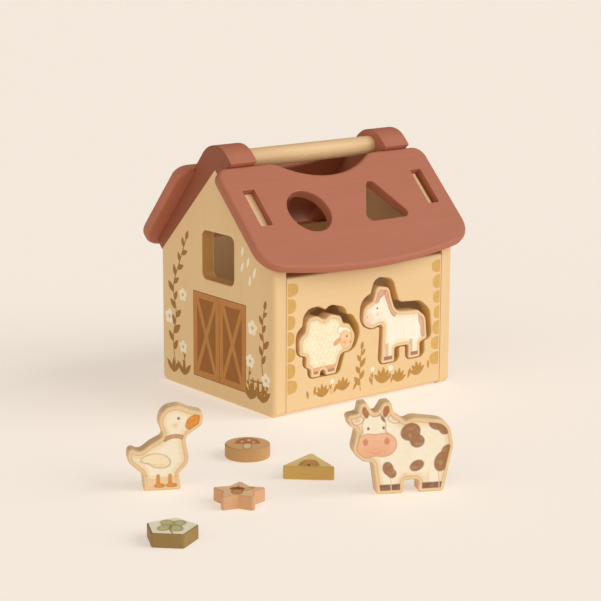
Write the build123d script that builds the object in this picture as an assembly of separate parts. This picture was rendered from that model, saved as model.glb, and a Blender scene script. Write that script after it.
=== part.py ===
from build123d import *
from math import cos, radians, sin, sqrt, tan
import os

# Wooden barn shape-sorting puzzle, in millimetres.
# The origin is on the floor under the centre of the barn.
# +X runs along the ridge, -Y is the front wall with the sheep and the horse, +Z is up.

# Barn box
barn_length = 190.0
barn_depth = 157.0
board = 12.0
apex_height = 191.5
roof_pitch = 45.0
gable_corner_r = 6.0
gable_edge_r = 3.5
wall_edge_r = 0.8

# Window in the left gable
window_width = 44.3
window_height = 40.8
window_offset = -2.9
window_sill = 99.1
window_r = 6.0
window_edge_r = 1.2

# Front flap and fixed back wall
wall_lift = 2.0
wall_top_gap = 10.6
flap_side_gap = 0.6
flap_pin_inset = 4.4
flap_pin_height = 9.0
flap_pin_r = 2.0
flap_pin_length = 20.0
pin_running_gap = 0.08
flap_front_bottom_r = 3.0
flap_back_bottom_r = 5.0
flap_top_r = 2.0
back_wall_rise = 7.5
back_notch_gap = 0.3

# Floor board, which stands on the same plane as the gables
floor_thickness = 9.0
floor_front_gap = 1.6

# Catch that holds the flap shut
catch_width = 23.0
catch_depth = 10.0
catch_height = 24.0
catch_rise = 6.0
catch_gap = 0.3
magnet_inset = 5.5
magnet_drop = 10.0
magnet_r = 4.0
magnet_thickness = 3.0
magnet_gap = 0.05

# Hidden beech dowels
dowel_r = 3.0
dowel_length = 20.0
rod_in_gable = 8.0
dowel_gap = 0.05
rod_end_gap = 0.5
back_dowel_margin = 10.0
floor_dowel_r = 2.5
floor_dowel_spread = 70.0

# Ridge brackets
bracket_length = 27.0
bracket_band = 8.2
bracket_cheek = 3.5
bracket_boss_r = 21.8
bracket_boss_drop = 2.0
bracket_boss_shift = 1.0
bracket_tip_back = 2.0
bracket_fill_r = 25.0
bracket_edge_r = 1.2
back_band = 9.5
back_roof_lean = 4.5
shoulder_from_ridge = 86.0
shoulder_gap = 0.2

# Carry handle
handle_r = 8.0
handle_rise = 6.5
handle_socket_depth = 14.0
handle_gap = 0.05

# Roof panels
roof_length = 220.0
roof_thickness = 9.0
roof_top_from_ridge = 10.5
roof_shoulder_gap = 0.3
roof_eave_mid = 118.9
roof_eave_end = 106.0
back_top_from_ridge = 22.3
back_eave_mid = 125.3
back_eave_end = 112.8
roof_top_corner_r = 11.0
roof_eave_corner_r = 22.0
roof_edge_r = 2.8
hole_edge_r = 1.0
notch_half = 50.0
notch_depth = 17.5
back_notch_depth = 9.0
notch_shoulder_r = 18.0

# Tabs of the gables that lock the roof panels
tab_from_ridge = 34.6
tab_length = 34.8
tab_recess = 5.5
tab_root = 2.0
tab_gap = 0.3
slot_side_gap = 0.5
slot_corner_r = 1.0

# Blocks and their holes in the roof
block_thickness = 10.0
block_edge_r = 1.0
round_from_ridge = 61.1
triangle_from_ridge = 64.0
back_hole_from_ridge = 71.0
round_block_r = 17.0
round_hole_r = 20.1
triangle_block_side = 40.0
triangle_corner_r = 2.0
triangle_clearance = 3.1
star_block_r = 20.6
star_inner_share = 0.56
star_corner_r = 2.0
star_clearance = 2.4
pentagon_block_r = 18.4
pentagon_corner_r = 2.0
pentagon_clearance = 2.6
round_hole_x = -41.3
triangle_hole_x = 34.2
star_hole_x = 20.0
pentagon_hole_x = -30.0

# Animal pieces and their cut-outs
animal_thickness = 12.0
animal_edge_r = 1.1
animal_clearance = 4.2
animal_seat_gap = 0.3
animal_recess = 1.0
cutout_drop = 86.7
back_cutout_bottom = 15.5
narrowest_tongue = 4.0
smallest_inner_r = 1.6
leg_foot_r = 2.0
leg_gap_r = 2.2
sheep_x = -39.0
horse_x = 32.5
cow_hole_x = -26.6
duck_hole_x = 42.4

# Where the loose pieces stand on the floor: x, y and turn about Z
cow_place = (-129.8, -281.9, -26.6)
duck_place = (-265.5, -171.0, -27.6)
round_place = (-169.0, -142.5, 0.0)
triangle_place = (-161.0, -207.0, -42.0)
star_place = (-239.5, -227.0, -39.0)
pentagon_place = (-319.3, -260.5, -44.0)

# Outlines seen from the front, standing on z = 0: x, z and corner radius
sheep_outline = [
    (-17.5, 0, 2), (8.5, 0, 2), (14, 16.5, 6), (24.5, 17, 7), (29.5, 29, 9), (22.5, 40, 3.5),
    (16.5, 40.5, 3), (13.5, 47.5, 4.5), (2.5, 50.5, 5), (-3.5, 46.5, 4), (-11, 51, 7), (-22, 50, 6.5),
    (-23, 39, 4), (-29.5, 33.5, 6), (-29.5, 20.5, 3), (-22, 18.5, 3), (-22.8, 10, 2.0), (-17.5, 7, 3),
]
sheep_leg_gap = (-7.5, -2.5, 5.0)
horse_outline = [
    (-14.5, 0, 2.5), (29, 0, 2.5), (28.5, 12.5, 2), (36.5, 15, 2), (34.5, 34, 9), (26, 41, 8),
    (1, 43, 10), (-4, 56, 9), (-6.5, 64.5, 5), (-20, 67, 4), (-24, 55, 3), (-34, 51, 8),
    (-35, 36, 8), (-25, 31.5, 7), (-12.8, 34.5, 3),
]
horse_leg_gap = (0.5, 15.5, 12.3)
cow_outline = [
    (-24, 0, 2), (24.5, 0, 2.5), (31.5, 33, 14), (28, 51.5, 12), (2, 55.5, 12), (-4.5, 53, 3),
    (-12.5, 59, 3), (-14.5, 67.5, 2.2), (-20.5, 67, 1.6), (-26.2, 58, 2.5),
    (-32, 67.5, 1.6), (-37.2, 67, 2.2), (-38.5, 60, 2), (-46.5, 58.5, 2.5), (-44.5, 51.5, 2),
    (-39, 48, 3), (-42.5, 32, 8), (-34.5, 25, 4.5), (-27.5, 24, 3),
]
cow_leg_gap = (-4.5, 6.0, 9.5)
duck_outline = [
    (-13, 0, 1.5), (13.5, 0, 2), (12, 12, 3), (19.8, 20, 10), (16.5, 38.5, 6), (28.5, 46.5, 4),
    (30.5, 56, 4), (21, 58, 6), (12, 62, 8), (0, 60, 10), (-2.5, 49, 8), (1.5, 39.5, 4),
    (-8, 34.5, 12), (-16, 28.5, 5), (-23.5, 33, 3), (-25, 23, 8), (-14, 12.5, 4),
]

# Widest error allowed when an edge or corner is picked by its place
near = 0.01

# Values that follow from the sizes above
half_length = barn_length / 2
half_depth = barn_depth / 2
inner_half = half_length - board
pitch = radians(roof_pitch)
eave_height = apex_height - half_depth * tan(pitch)
slope_length = half_depth / cos(pitch)
wall_top = eave_height + bracket_band / cos(pitch) - wall_top_gap
back_wall_top = eave_height + back_wall_rise
cutout_bottom = wall_top - cutout_drop
back_lean = radians(back_roof_lean)
bracket_boss_height = apex_height - bracket_boss_drop
handle_height = apex_height + handle_rise
tab_height = roof_thickness - tab_recess
flap_half = inner_half - flap_side_gap
flap_pin_y = -half_depth + flap_pin_inset
flap_pin_corner = sqrt((board - flap_pin_inset - flap_back_bottom_r) ** 2
                       + (flap_pin_height - wall_lift - flap_back_bottom_r) ** 2)
flap_swing = flap_pin_corner + flap_back_bottom_r
floor_front = flap_pin_y + flap_swing + floor_front_gap
floor_back = half_depth - board
dowel_bore = dowel_length - rod_in_gable + rod_end_gap


def slope_plane(side, lift):
    # Plane over one slope of the gable: x to the right as seen from outside, y up the slope.
    outward = (0, side * sin(pitch), cos(pitch))
    plane = Plane(origin=(0, 0, apex_height), x_dir=(-side, 0, 0), z_dir=outward)
    return plane.offset(lift)


def roof_plane(side, lift):
    # Plane over the underside of one roof panel, laid out like the slope's. The back panel lies
    # steeper than the gable, on the wedge that the bracket's back arm makes.
    if side < 0:
        return slope_plane(side, bracket_band + lift)
    steep = pitch + back_lean
    y, z = slope_yz(1, slope_length, back_band)
    origin = (0, y - slope_length * cos(steep), z + slope_length * sin(steep))
    return Plane(origin=origin, x_dir=(-1, 0, 0), z_dir=(0, sin(steep), cos(steep))).offset(lift)


def back_roof_yz(along, offset):
    # Point of the YZ plane at a distance down the back panel and an offset out of its underside.
    point = roof_plane(1, offset).from_local_coords((0, -along, 0))
    return (point.Y, point.Z)


def band_depth(side):
    # Greatest distance between the underside of a roof panel and the gable's slope.
    if side < 0:
        return bracket_band
    return back_band + slope_length * tan(back_lean)


def wall_plane(side):
    # Outer plane of the front or back wall: x to the right as seen from outside, y up.
    origin = (0, side * half_depth, 0)
    return Plane(origin=origin, x_dir=(-side, 0, 0), z_dir=(0, side, 0))


def slope_yz(side, along, offset):
    # Point of the YZ plane at a distance down the slope and an offset out of it.
    y = along * cos(pitch) + offset * sin(pitch)
    z = apex_height - along * sin(pitch) + offset * cos(pitch)
    return (side * y, z)


def rod(radius, length, start, axis):
    # Round rod from a start point along an axis.
    plane = Plane(origin=start, z_dir=axis)
    return extrude(plane * Circle(radius), length)


def rounded(points):
    # Closed face of an outline whose corners are rounded, on the XY plane.
    corners = [(x, z) for x, z, r in points]
    radii = [r for x, z, r in points]
    return make_face(FilletPolyline(*corners, radius=radii, close=True))


def ring_points(count, radius, start, corner_r):
    # Corners of a regular polygon with their rounding.
    turns = [radians(start + 360 * i / count) for i in range(count)]
    return [(radius * cos(a), radius * sin(a), corner_r) for a in turns]


def star_points(radius, inner_share, corner_r):
    # Corners of a five-pointed star with their rounding.
    points = []
    for i in range(10):
        reach = radius if i % 2 == 0 else radius * inner_share
        turn = radians(90 + 36 * i)
        points.append((reach * cos(turn), reach * sin(turn), corner_r))
    return points


def round_face(clearance):
    return Circle(round_block_r + clearance)


def triangle_face(clearance):
    reach = triangle_block_side / sqrt(3)
    return rounded(grown(ring_points(3, reach, 90, triangle_corner_r), clearance))


def star_face(clearance):
    return rounded(grown(star_points(star_block_r, star_inner_share, star_corner_r), clearance))


def pentagon_face(clearance):
    return rounded(grown(ring_points(5, pentagon_block_r, 90, pentagon_corner_r), clearance))


def grown(points, clearance):
    # The same outline moved outwards by a clearance, with its rounding grown or shrunk to match.
    moved = []
    for i, (x, y, r) in enumerate(points):
        before = Vector(x - points[i - 1][0], y - points[i - 1][1]).normalized()
        following = points[(i + 1) % len(points)]
        after = Vector(following[0] - x, following[1] - y).normalized()
        out_before = Vector(before.Y, -before.X)
        out_after = Vector(after.Y, -after.X)
        miter = (out_before + out_after) * (clearance / (1 + out_before.dot(out_after)))
        convex = before.X * after.Y - before.Y * after.X > 0
        radius = r + clearance if convex else max(r - clearance, min(r, smallest_inner_r))
        moved.append((x + miter.X, y + miter.Y, radius))
    return moved


def with_leg_gap(outline, gap):
    # Outline with the gap between front and hind legs let into its bottom edge.
    if not gap:
        return outline
    left, right, top = gap
    notch = [
        (left, 0, leg_foot_r), (left, top, leg_gap_r),
        (right, top, leg_gap_r), (right, 0, leg_foot_r),
    ]
    return outline[:1] + notch + outline[1:]


def cutout_face(outline, gap):
    # Cut-out whose bottom edge lies on z = 0: the outline with clearance all round.
    if gap and gap[1] - gap[0] - 2 * animal_clearance < narrowest_tongue:
        gap = None
    return Pos(0, animal_clearance) * rounded(grown(with_leg_gap(outline, gap), animal_clearance))


def gable_profile():
    # Gable with a shoulder at the front eave that reaches up to the roof panel.
    corners = [
        (-half_depth, 0), (half_depth, 0), (half_depth, eave_height), (0, apex_height),
        slope_yz(-1, shoulder_from_ridge, 0), slope_yz(-1, shoulder_from_ridge, bracket_band),
        (-half_depth, eave_height + bracket_band / cos(pitch)),
    ]
    face = make_face(Polyline(*corners, close=True))
    feet = face.vertices().sort_by(Axis.Y)[:2]
    return fillet(feet, gable_corner_r)


def tab_box(side, x_low, x_high, margin, depth, height):
    # Block at the tab's place, between two x positions, from below to above a panel's underside.
    middle = tab_from_ridge + tab_length / 2
    x_centre = (x_low + x_high) / 2
    base = Pos(-side * x_centre, -middle) * Rectangle(x_high - x_low, tab_length + 2 * margin)
    return extrude(roof_plane(side, -depth) * base, depth + height)


def with_window(gable):
    # The gable with a window whose outer rim is softened.
    window = Pos(window_offset, window_sill + window_height / 2)
    window *= RectangleRounded(window_width, window_height, window_r)
    cut = gable - extrude(Plane.YZ.offset(inner_half) * window, board)
    return fillet(cut.faces().sort_by(Axis.X)[-1].inner_wires().edges(), window_edge_r)


def right_gable_board():
    board_solid = extrude(Plane.YZ.offset(inner_half) * gable_profile(), board)
    outer = board_solid.faces().sort_by(Axis.X)[-1]
    foot_edges = outer.outer_wire().edges().filter_by(lambda edge: (edge @ 0.5).Z < eave_height)
    board_solid = fillet(foot_edges, gable_edge_r)
    for side in (-1, 1):
        depth = band_depth(side) + tab_root
        board_solid += tab_box(side, inner_half, half_length - bracket_cheek, 0, depth, tab_height)
    for y, z, radius in gable_bores():
        bore = rod(radius + dowel_gap, rod_in_gable + rod_end_gap, (inner_half, y, z), (1, 0, 0))
        board_solid -= bore
    return board_solid


def gable_bores():
    # Blind bores in the inner face of a gable: y, z and the radius of what sits in each.
    bores = [(flap_pin_y, flap_pin_height, flap_pin_r)]
    bores += [(y, z, dowel_r) for y, z in back_dowel_points()]
    bores += [(y, z, floor_dowel_r) for y, z in floor_dowel_points()]
    return bores


def back_dowel_points():
    y = half_depth - board / 2
    return [(y, wall_lift + back_dowel_margin), (y, wall_top - back_dowel_margin)]


def floor_dowel_points():
    z = floor_thickness / 2
    return [(-floor_dowel_spread / 2, z), (floor_dowel_spread / 2, z)]


def bracket_band_face():
    # Front arm of even thickness, and back arm that thickens towards the ridge.
    front_end = shoulder_from_ridge - shoulder_gap
    back_end = slope_length - bracket_tip_back
    top = (0, apex_height + bracket_band / cos(pitch))
    band = [
        slope_yz(-1, front_end, 0), (0, apex_height), slope_yz(1, back_end, 0),
        back_roof_yz(back_end, 0), back_roof_yz(back_top_from_ridge, 0), top,
        slope_yz(-1, front_end, bracket_band),
    ]
    return make_face(Polyline(*band, close=True))


def boss_rim(turn):
    # Point on the round crown of the boss, at an angle from the vertical towards the back.
    centre_y = bracket_boss_shift if turn > 0 else 0
    return (centre_y + bracket_boss_r * sin(turn), bracket_boss_height + bracket_boss_r * cos(turn))


def bracket_boss_face():
    # Boss on the ridge with a round crown and a shoulder for each roof panel. Its front flank runs
    # parallel to the slope, and its back flank parallel to the back panel.
    shoulder = roof_top_from_ridge - roof_shoulder_gap
    boss_lift = bracket_boss_r - bracket_boss_drop * cos(pitch)
    steep = pitch + back_lean
    crown_z = bracket_boss_height + bracket_boss_r
    back_foot, back_top = back_shoulder_line()
    outline = Polyline(
        boss_rim(steep), back_top, back_foot, (0, apex_height), slope_yz(-1, shoulder, 0),
        slope_yz(-1, shoulder, boss_lift), boss_rim(-pitch),
    )
    outline += ThreePointArc(boss_rim(-pitch), boss_rim(-pitch / 2), (0, crown_z))
    outline += Line((0, crown_z), (bracket_boss_shift, crown_z))
    outline += ThreePointArc((bracket_boss_shift, crown_z), boss_rim(steep / 2), boss_rim(steep))
    return make_face(outline)


def back_shoulder_line():
    # Foot on the slope and top on the boss's flank of the line that the back panel's end faces.
    y, z = back_roof_yz(back_top_from_ridge - roof_shoulder_gap, 0)
    out_y, out_z = sin(pitch + back_lean), cos(pitch + back_lean)
    depth = ((z - apex_height) * cos(pitch) + y * sin(pitch)) / cos(back_lean)
    crown_y, crown_z = boss_rim(pitch + back_lean)
    reach = (crown_y - y) * out_y + (crown_z - z) * out_z
    return (y - depth * out_y, z - depth * out_z), (y + reach * out_y, z + reach * out_z)


def bracket_crotch_face():
    # Filling with a round underside, inside the V where no gable lies under it.
    reach = bracket_fill_r * tan(pitch)
    centre = (0, apex_height - bracket_fill_r / cos(pitch))
    crotch = [(0, apex_height), slope_yz(1, reach, 0), centre, slope_yz(-1, reach, 0)]
    return make_face(Polyline(*crotch, close=True)) - Pos(*centre) * Circle(bracket_fill_r)


def right_bracket():
    inner_x = half_length - bracket_length
    end_plane = Plane.YZ.offset(inner_x)
    boss = extrude(end_plane * bracket_boss_face(), bracket_length)
    boss = fillet(boss.edges().filter_by(bracket_soft_edge), bracket_edge_r)
    solid = boss + extrude(end_plane * bracket_band_face(), bracket_length)
    solid += extrude(end_plane * bracket_crotch_face(), bracket_length - board)
    for side in (-1, 1):
        low_x = inner_half - tab_gap
        high_x = half_length - bracket_cheek + tab_gap
        solid -= tab_box(side, low_x, high_x, tab_gap, band_depth(side), 0)
    socket = rod(handle_r + handle_gap, handle_socket_depth, (inner_x, 0, handle_height), (1, 0, 0))
    return solid - socket


def bracket_soft_edge(edge):
    # Rim edges of the boss on its two end faces, apart from those that lie on the gable.
    middle = edge @ 0.5
    lift = (middle.Z - apex_height) * cos(pitch) + abs(middle.Y) * sin(pitch)
    return lift > bracket_edge_r and abs((edge @ 0).X - (edge @ 1).X) < near


def roof_outline(from_ridge, eave_mid, eave_end, notch):
    # Roof panel seen from outside, with the ridge line at y = 0 and a hand notch in its top.
    half = roof_length / 2
    top = -from_ridge
    edge = Polyline((-half, -eave_end), (-half, top), (half, top), (half, -eave_end))
    edge += ThreePointArc((half, -eave_end), (0, -eave_mid), (-half, -eave_end))
    face = make_face(edge)
    notch_r = (notch_half ** 2 + notch ** 2) / (2 * notch)
    face -= Pos(0, top - notch + notch_r) * Circle(notch_r)
    shoulders = face.vertices().filter_by(lambda v: abs(abs(v.X) - notch_half) < near)
    face = fillet(shoulders, notch_shoulder_r)
    ends = face.vertices().filter_by(lambda v: abs(abs(v.X) - half) < near)
    face = fillet(ends.sort_by(Axis.Y)[-2:], roof_top_corner_r)
    ends = face.vertices().filter_by(lambda v: abs(abs(v.X) - half) < near)
    return fillet(ends.sort_by(Axis.Y)[:2], roof_eave_corner_r)


def roof_panel(side, outline, holes):
    base = roof_plane(side, 0)
    solid = extrude(base * outline, roof_thickness)
    solid = fillet(rim_edges(solid, base, roof_thickness), roof_edge_r)
    solid = cut_holes(solid, base, holes, roof_thickness, hole_edge_r)
    x_low = inner_half - tab_gap
    x_high = half_length - slot_side_gap
    middle = tab_from_ridge + tab_length / 2
    slot = RectangleRounded(x_high - x_low, tab_length + 2 * tab_gap, slot_corner_r)
    for x in (-(x_low + x_high) / 2, (x_low + x_high) / 2):
        solid -= extrude(base * Pos(x, -middle) * slot, roof_thickness)
    return solid


def lies_at(edge, base, lift):
    # Whether an edge lies wholly at one height over a base plane.
    heights = [base.to_local_coords(edge @ t).Z for t in (0, 0.5)]
    return all(abs(height - lift) < near for height in heights)


def rim_edges(solid, base, thickness):
    # Edges of the two broad faces of a panel built up from a base plane.
    lifts = (0, thickness)
    return solid.edges().filter_by(lambda edge: any(lies_at(edge, base, lift) for lift in lifts))


def cut_holes(solid, base, holes, thickness, edge_r):
    # Cuts holes through a panel and softens their rims on both faces.
    outer = [edge.center() for edge in rim_edges(solid, base, thickness)]
    cut = solid - extrude(base * holes, thickness)
    rims = rim_edges(cut, base, thickness)
    fresh = [edge for edge in rims if min((edge.center() - c).length for c in outer) > near]
    return fillet(fresh, edge_r)


def flap_profile():
    # Section of the flap, with rounded edges that clear the floor, its board and the eave.
    front = -half_depth
    back = -half_depth + board
    corners = [(front, wall_lift), (back, wall_lift), (back, wall_top), (front, wall_top)]
    radii = [flap_front_bottom_r, flap_back_bottom_r, flap_top_r, flap_top_r]
    return make_face(FilletPolyline(*corners, radius=radii, close=True))


def flap_board():
    solid = extrude(Plane.YZ.offset(-flap_half) * flap_profile(), 2 * flap_half)
    holes = animal_hole(sheep_outline, sheep_leg_gap, sheep_x, cutout_bottom)
    holes += animal_hole(horse_outline, horse_leg_gap, horse_x, cutout_bottom)
    inner = wall_plane(-1).offset(-board)
    solid = cut_holes(solid, inner, holes, board, wall_edge_r)
    bore_depth = flap_pin_length - rod_in_gable - flap_side_gap + rod_end_gap
    for end in (-1, 1):
        start = (end * flap_half, flap_pin_y, flap_pin_height)
        solid -= rod(flap_pin_r + pin_running_gap, bore_depth, start, (-end, 0, 0))
        solid -= rod(magnet_r + magnet_gap, magnet_thickness, magnet_place(end, 0), (0, -1, 0))
    return solid


def animal_hole(outline, gap, x, bottom):
    return Pos(x, bottom) * cutout_face(outline, gap)


def back_arm_notch():
    # Room above the slope for the inner part of the right bracket's back arm.
    start = half_length - bracket_length - back_notch_gap
    high = slope_yz(1, slope_length - 2 * board, -back_notch_gap)
    low = slope_yz(1, slope_length + board, -back_notch_gap)
    wedge = make_face(Polyline(high, low, (low[0], high[1]), close=True))
    return extrude(Plane.YZ.offset(start) * wedge, half_length - start)


def back_board():
    # Wall whose top corners are bevelled along the slope, under the brackets' back arms.
    inner = wall_plane(1).offset(-board)
    corners = [
        (-inner_half, wall_lift), (inner_half, wall_lift), (inner_half, back_wall_top), (-inner_half, back_wall_top),
    ]
    solid = extrude(inner * make_face(Polyline(*corners, close=True)), board)
    notch = back_arm_notch()
    solid -= notch
    solid -= mirror(notch, about=Plane.YZ)
    holes = animal_hole(cow_outline, cow_leg_gap, cow_hole_x, back_cutout_bottom)
    holes += animal_hole(duck_outline, None, duck_hole_x, back_cutout_bottom)
    solid = cut_holes(solid, inner, holes, board, wall_edge_r)
    for end in (-1, 1):
        for y, z in back_dowel_points():
            start = (end * inner_half, y, z)
            solid -= rod(dowel_r + dowel_gap, dowel_bore, start, (-end, 0, 0))
    return solid


def floor_board():
    depth = floor_back - floor_front
    centre = (0, (floor_front + floor_back) / 2, floor_thickness / 2)
    solid = Pos(*centre) * Box(2 * inner_half, depth, floor_thickness)
    solid = fillet(solid.edges().filter_by(Axis.X).sort_by(Axis.Y)[:2], wall_edge_r)
    for end in (-1, 1):
        for y, z in floor_dowel_points():
            start = (end * inner_half, y, z)
            solid -= rod(floor_dowel_r + dowel_gap, dowel_bore, start, (-end, 0, 0))
    return solid


def magnet_place(end, gap):
    # Centre of the meeting faces of the magnets at one end of the flap.
    return (end * (inner_half - magnet_inset), -half_depth + board + gap, wall_top - magnet_drop)


def catch_block(end):
    # Block in a top corner of the opening, which also closes the gap under the eave.
    x = end * (inner_half - catch_width / 2)
    y = -half_depth + board + catch_gap + catch_depth / 2
    z = wall_top + catch_rise - catch_height / 2
    solid = Pos(x, y, z) * Box(catch_width, catch_depth, catch_height)
    free = solid.edges().filter_by(Axis.Z).filter_by(lambda edge: abs((edge @ 0).X) < abs(x))
    solid = fillet(free, wall_edge_r)
    return solid - rod(magnet_r + magnet_gap, magnet_thickness, magnet_place(end, catch_gap), (0, 1, 0))


def magnets(gap, direction):
    discs = [rod(magnet_r, magnet_thickness, magnet_place(end, gap), (0, direction, 0)) for end in (-1, 1)]
    return Compound(children=discs)


def side_rods(radius, length, points):
    # Equal rods that join the gables to what lies between them, at both ends.
    rods = []
    for end in (-1, 1):
        for y, z in points:
            start = (end * (inner_half + rod_in_gable), y, z)
            rods.append(rod(radius, length, start, (-end, 0, 0)))
    return Compound(children=rods)


def handle_bar():
    end = half_length - bracket_length + handle_socket_depth - handle_gap
    return rod(handle_r, 2 * end, (-end, 0, handle_height), (1, 0, 0))


def animal_piece(outline, gap):
    # Standing piece whose front face lies on y = 0, with softened rims.
    plane = Plane(origin=(0, 0, 0), x_dir=(1, 0, 0), z_dir=(0, -1, 0))
    solid = extrude(plane * rounded(with_leg_gap(outline, gap)), -animal_thickness)
    return fillet(rim_edges(solid, plane.offset(-animal_thickness), animal_thickness), animal_edge_r)


def flat_block(face):
    solid = extrude(face, block_thickness)
    return fillet(rim_edges(solid, Plane.XY, block_thickness), block_edge_r)


def on_floor(solid, place):
    x, y, turn = place
    return Pos(x, y, 0) * Rot(0, 0, turn) * solid


def in_flap(solid, x):
    return Pos(x, -half_depth + animal_recess, cutout_bottom + animal_seat_gap) * solid


gable = right_gable_board()
bracket = right_bracket()
front_holes = Pos(round_hole_x, -round_from_ridge) * round_face(round_hole_r - round_block_r)
front_holes += Pos(triangle_hole_x, -triangle_from_ridge) * triangle_face(triangle_clearance)
back_holes = Pos(-star_hole_x, -back_hole_from_ridge) * star_face(star_clearance)
back_holes += Pos(-pentagon_hole_x, -back_hole_from_ridge) * pentagon_face(pentagon_clearance)
front_outline = roof_outline(roof_top_from_ridge, roof_eave_mid, roof_eave_end, notch_depth)
back_outline = roof_outline(back_top_from_ridge, back_eave_mid, back_eave_end, back_notch_depth)
nodes = {
    "left_gable": mirror(with_window(gable), about=Plane.YZ),
    "right_gable": gable,
    "front_flap": flap_board(),
    "back_wall": back_board(),
    "floor_board": floor_board(),
    "left_ridge_bracket": mirror(bracket, about=Plane.YZ),
    "right_ridge_bracket": bracket,
    "front_roof": roof_panel(-1, front_outline, front_holes),
    "back_roof": roof_panel(1, back_outline, back_holes),
    "carry_handle": handle_bar(),
    "flap_pins": side_rods(flap_pin_r, flap_pin_length, [(flap_pin_y, flap_pin_height)]),
    "left_catch_block": catch_block(-1),
    "right_catch_block": catch_block(1),
    "catch_magnets": magnets(catch_gap, 1),
    "flap_magnets": magnets(0, -1),
    "back_wall_dowels": side_rods(dowel_r, dowel_length, back_dowel_points()),
    "floor_dowels": side_rods(floor_dowel_r, dowel_length, floor_dowel_points()),
    "sheep_piece": in_flap(animal_piece(sheep_outline, sheep_leg_gap), sheep_x),
    "horse_piece": in_flap(animal_piece(horse_outline, horse_leg_gap), horse_x),
    "cow_piece": on_floor(animal_piece(cow_outline, cow_leg_gap), cow_place),
    "duck_piece": on_floor(animal_piece(duck_outline, None), duck_place),
    "round_block": on_floor(flat_block(round_face(0)), round_place),
    "triangle_block": on_floor(flat_block(triangle_face(0)), triangle_place),
    "star_block": on_floor(flat_block(star_face(0)), star_place),
    "pentagon_block": on_floor(flat_block(pentagon_face(0)), pentagon_place),
}

os.makedirs("parts", exist_ok=True)
for name, shape in nodes.items():
    export_step(shape, "parts/" + name + ".step")
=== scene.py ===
from math import cos, hypot, pi, radians, sin

import bmesh
import bpy
import numpy as np
from bpy.props import FloatProperty, FloatVectorProperty, IntProperty, PointerProperty
from bpy.types import Operator, Panel, PropertyGroup
from mathutils import Matrix, Vector, noise
from mathutils.geometry import delaunay_2d_cdt


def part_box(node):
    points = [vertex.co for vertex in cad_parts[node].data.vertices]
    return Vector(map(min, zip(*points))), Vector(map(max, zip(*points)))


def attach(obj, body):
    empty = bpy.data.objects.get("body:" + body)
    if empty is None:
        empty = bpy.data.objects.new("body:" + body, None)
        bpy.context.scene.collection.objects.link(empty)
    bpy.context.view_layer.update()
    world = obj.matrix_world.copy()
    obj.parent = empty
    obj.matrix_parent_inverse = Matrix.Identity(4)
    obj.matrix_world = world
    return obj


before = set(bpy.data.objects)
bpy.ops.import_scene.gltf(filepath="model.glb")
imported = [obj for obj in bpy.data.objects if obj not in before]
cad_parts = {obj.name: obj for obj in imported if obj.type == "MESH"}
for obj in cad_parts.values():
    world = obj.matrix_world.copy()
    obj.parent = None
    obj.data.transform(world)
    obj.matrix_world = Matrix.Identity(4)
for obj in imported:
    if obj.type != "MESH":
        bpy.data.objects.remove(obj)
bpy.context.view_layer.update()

bl_info = {
    "name": "Wooden barn puzzle finish",
    "version": (1, 0, 0),
    "blender": (4, 5, 0),
    "location": "View3D > Sidebar > Barn",
    "description": "Paints, prints and lights a wooden barn puzzle",
    "category": "Object",
}

MM = 0.001
UP = Vector((0, 0, 1))
RELIEF_DEPTH = 0.1 * MM

# Boxes of the boards, read from the frame
GABLE_LOW, GABLE_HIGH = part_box("left_gable")
FLAP_LOW, FLAP_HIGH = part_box("front_flap")
BACK_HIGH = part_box("back_wall")[1]
APEX_HEIGHT = GABLE_HIGH.z

# Slope of the gables' upper edges, and the depth at which it ends
ROOF_PITCH = radians(45)
SHOULDER_DEPTH = 0.0598

# Heights above the slope between which the paint gives way to the bare tabs
TAB_EDGE = (0.2 * MM, 0.4 * MM)

# Zones of the boards that hold the window and the animals' cut-outs
CUT_SKIN = 0.6 * MM
WINDOW_REACH, WINDOW_FOOT, WINDOW_TOP = 0.035, 0.095, 0.145
CUT_REACH, CUT_FOOT, CUT_TOP = 0.074, 0.014, 0.098


def tint(swatch):
    """Linear colour of a swatch given in display steps of 0 to 255."""
    return tuple((step / 255) ** 2.2 for step in swatch)


def colour(name, description, swatch):
    return FloatVectorProperty(
        name=name, description=description, subtype="COLOR", size=3, min=0, max=1, default=tint(swatch))


def length(name, description, millimetres):
    return FloatProperty(name=name, description=description, unit="LENGTH", min=0, default=millimetres * MM)


def angle(name, description, degrees):
    return FloatProperty(name=name, description=description, subtype="ANGLE", default=radians(degrees))


class BarnColours(PropertyGroup):
    """Paints, woods and inks of the barn."""

    wall: colour("Wall paint", "Cream paint of the gables and walls", (236, 203, 153))
    roof: colour("Roof paint", "Terracotta paint of the roof and its brackets", (181, 110, 85))
    # Painted shade: the window's walls get this darker paint in place of the shade inside the window
    reveal: colour("Reveal", "Walls of the window, where the cut wood drinks the paint", (200, 150, 82))
    # Painted shade: the cut-outs' walls get this darker, more golden paint in place of the shade inside them
    cut: colour("Cut", "Walls of the animals' cut-outs", (230, 184, 108))
    beech: colour("Beech", "Bare wood of the handle and the tabs", (240, 205, 158))
    piece: colour("Piece wood", "Bare wood round the printed animals", (240, 208, 164))
    door_frame: colour("Door frame", "Ink of the door's boards", (196, 134, 66))
    door_panel: colour("Door panel", "Ink of the door's panels", (158, 98, 30))
    leaf: colour("Leaf", "Ink of stems and leaves on the gables", (166, 118, 48))
    meadow: colour("Meadow", "Ink of the plants on the front flap", (190, 142, 66))
    stone: colour("Stone", "Ink of the corner stones", (220, 176, 98))
    petal: colour("Petal", "Ink of the flowers", (255, 247, 226))


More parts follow.
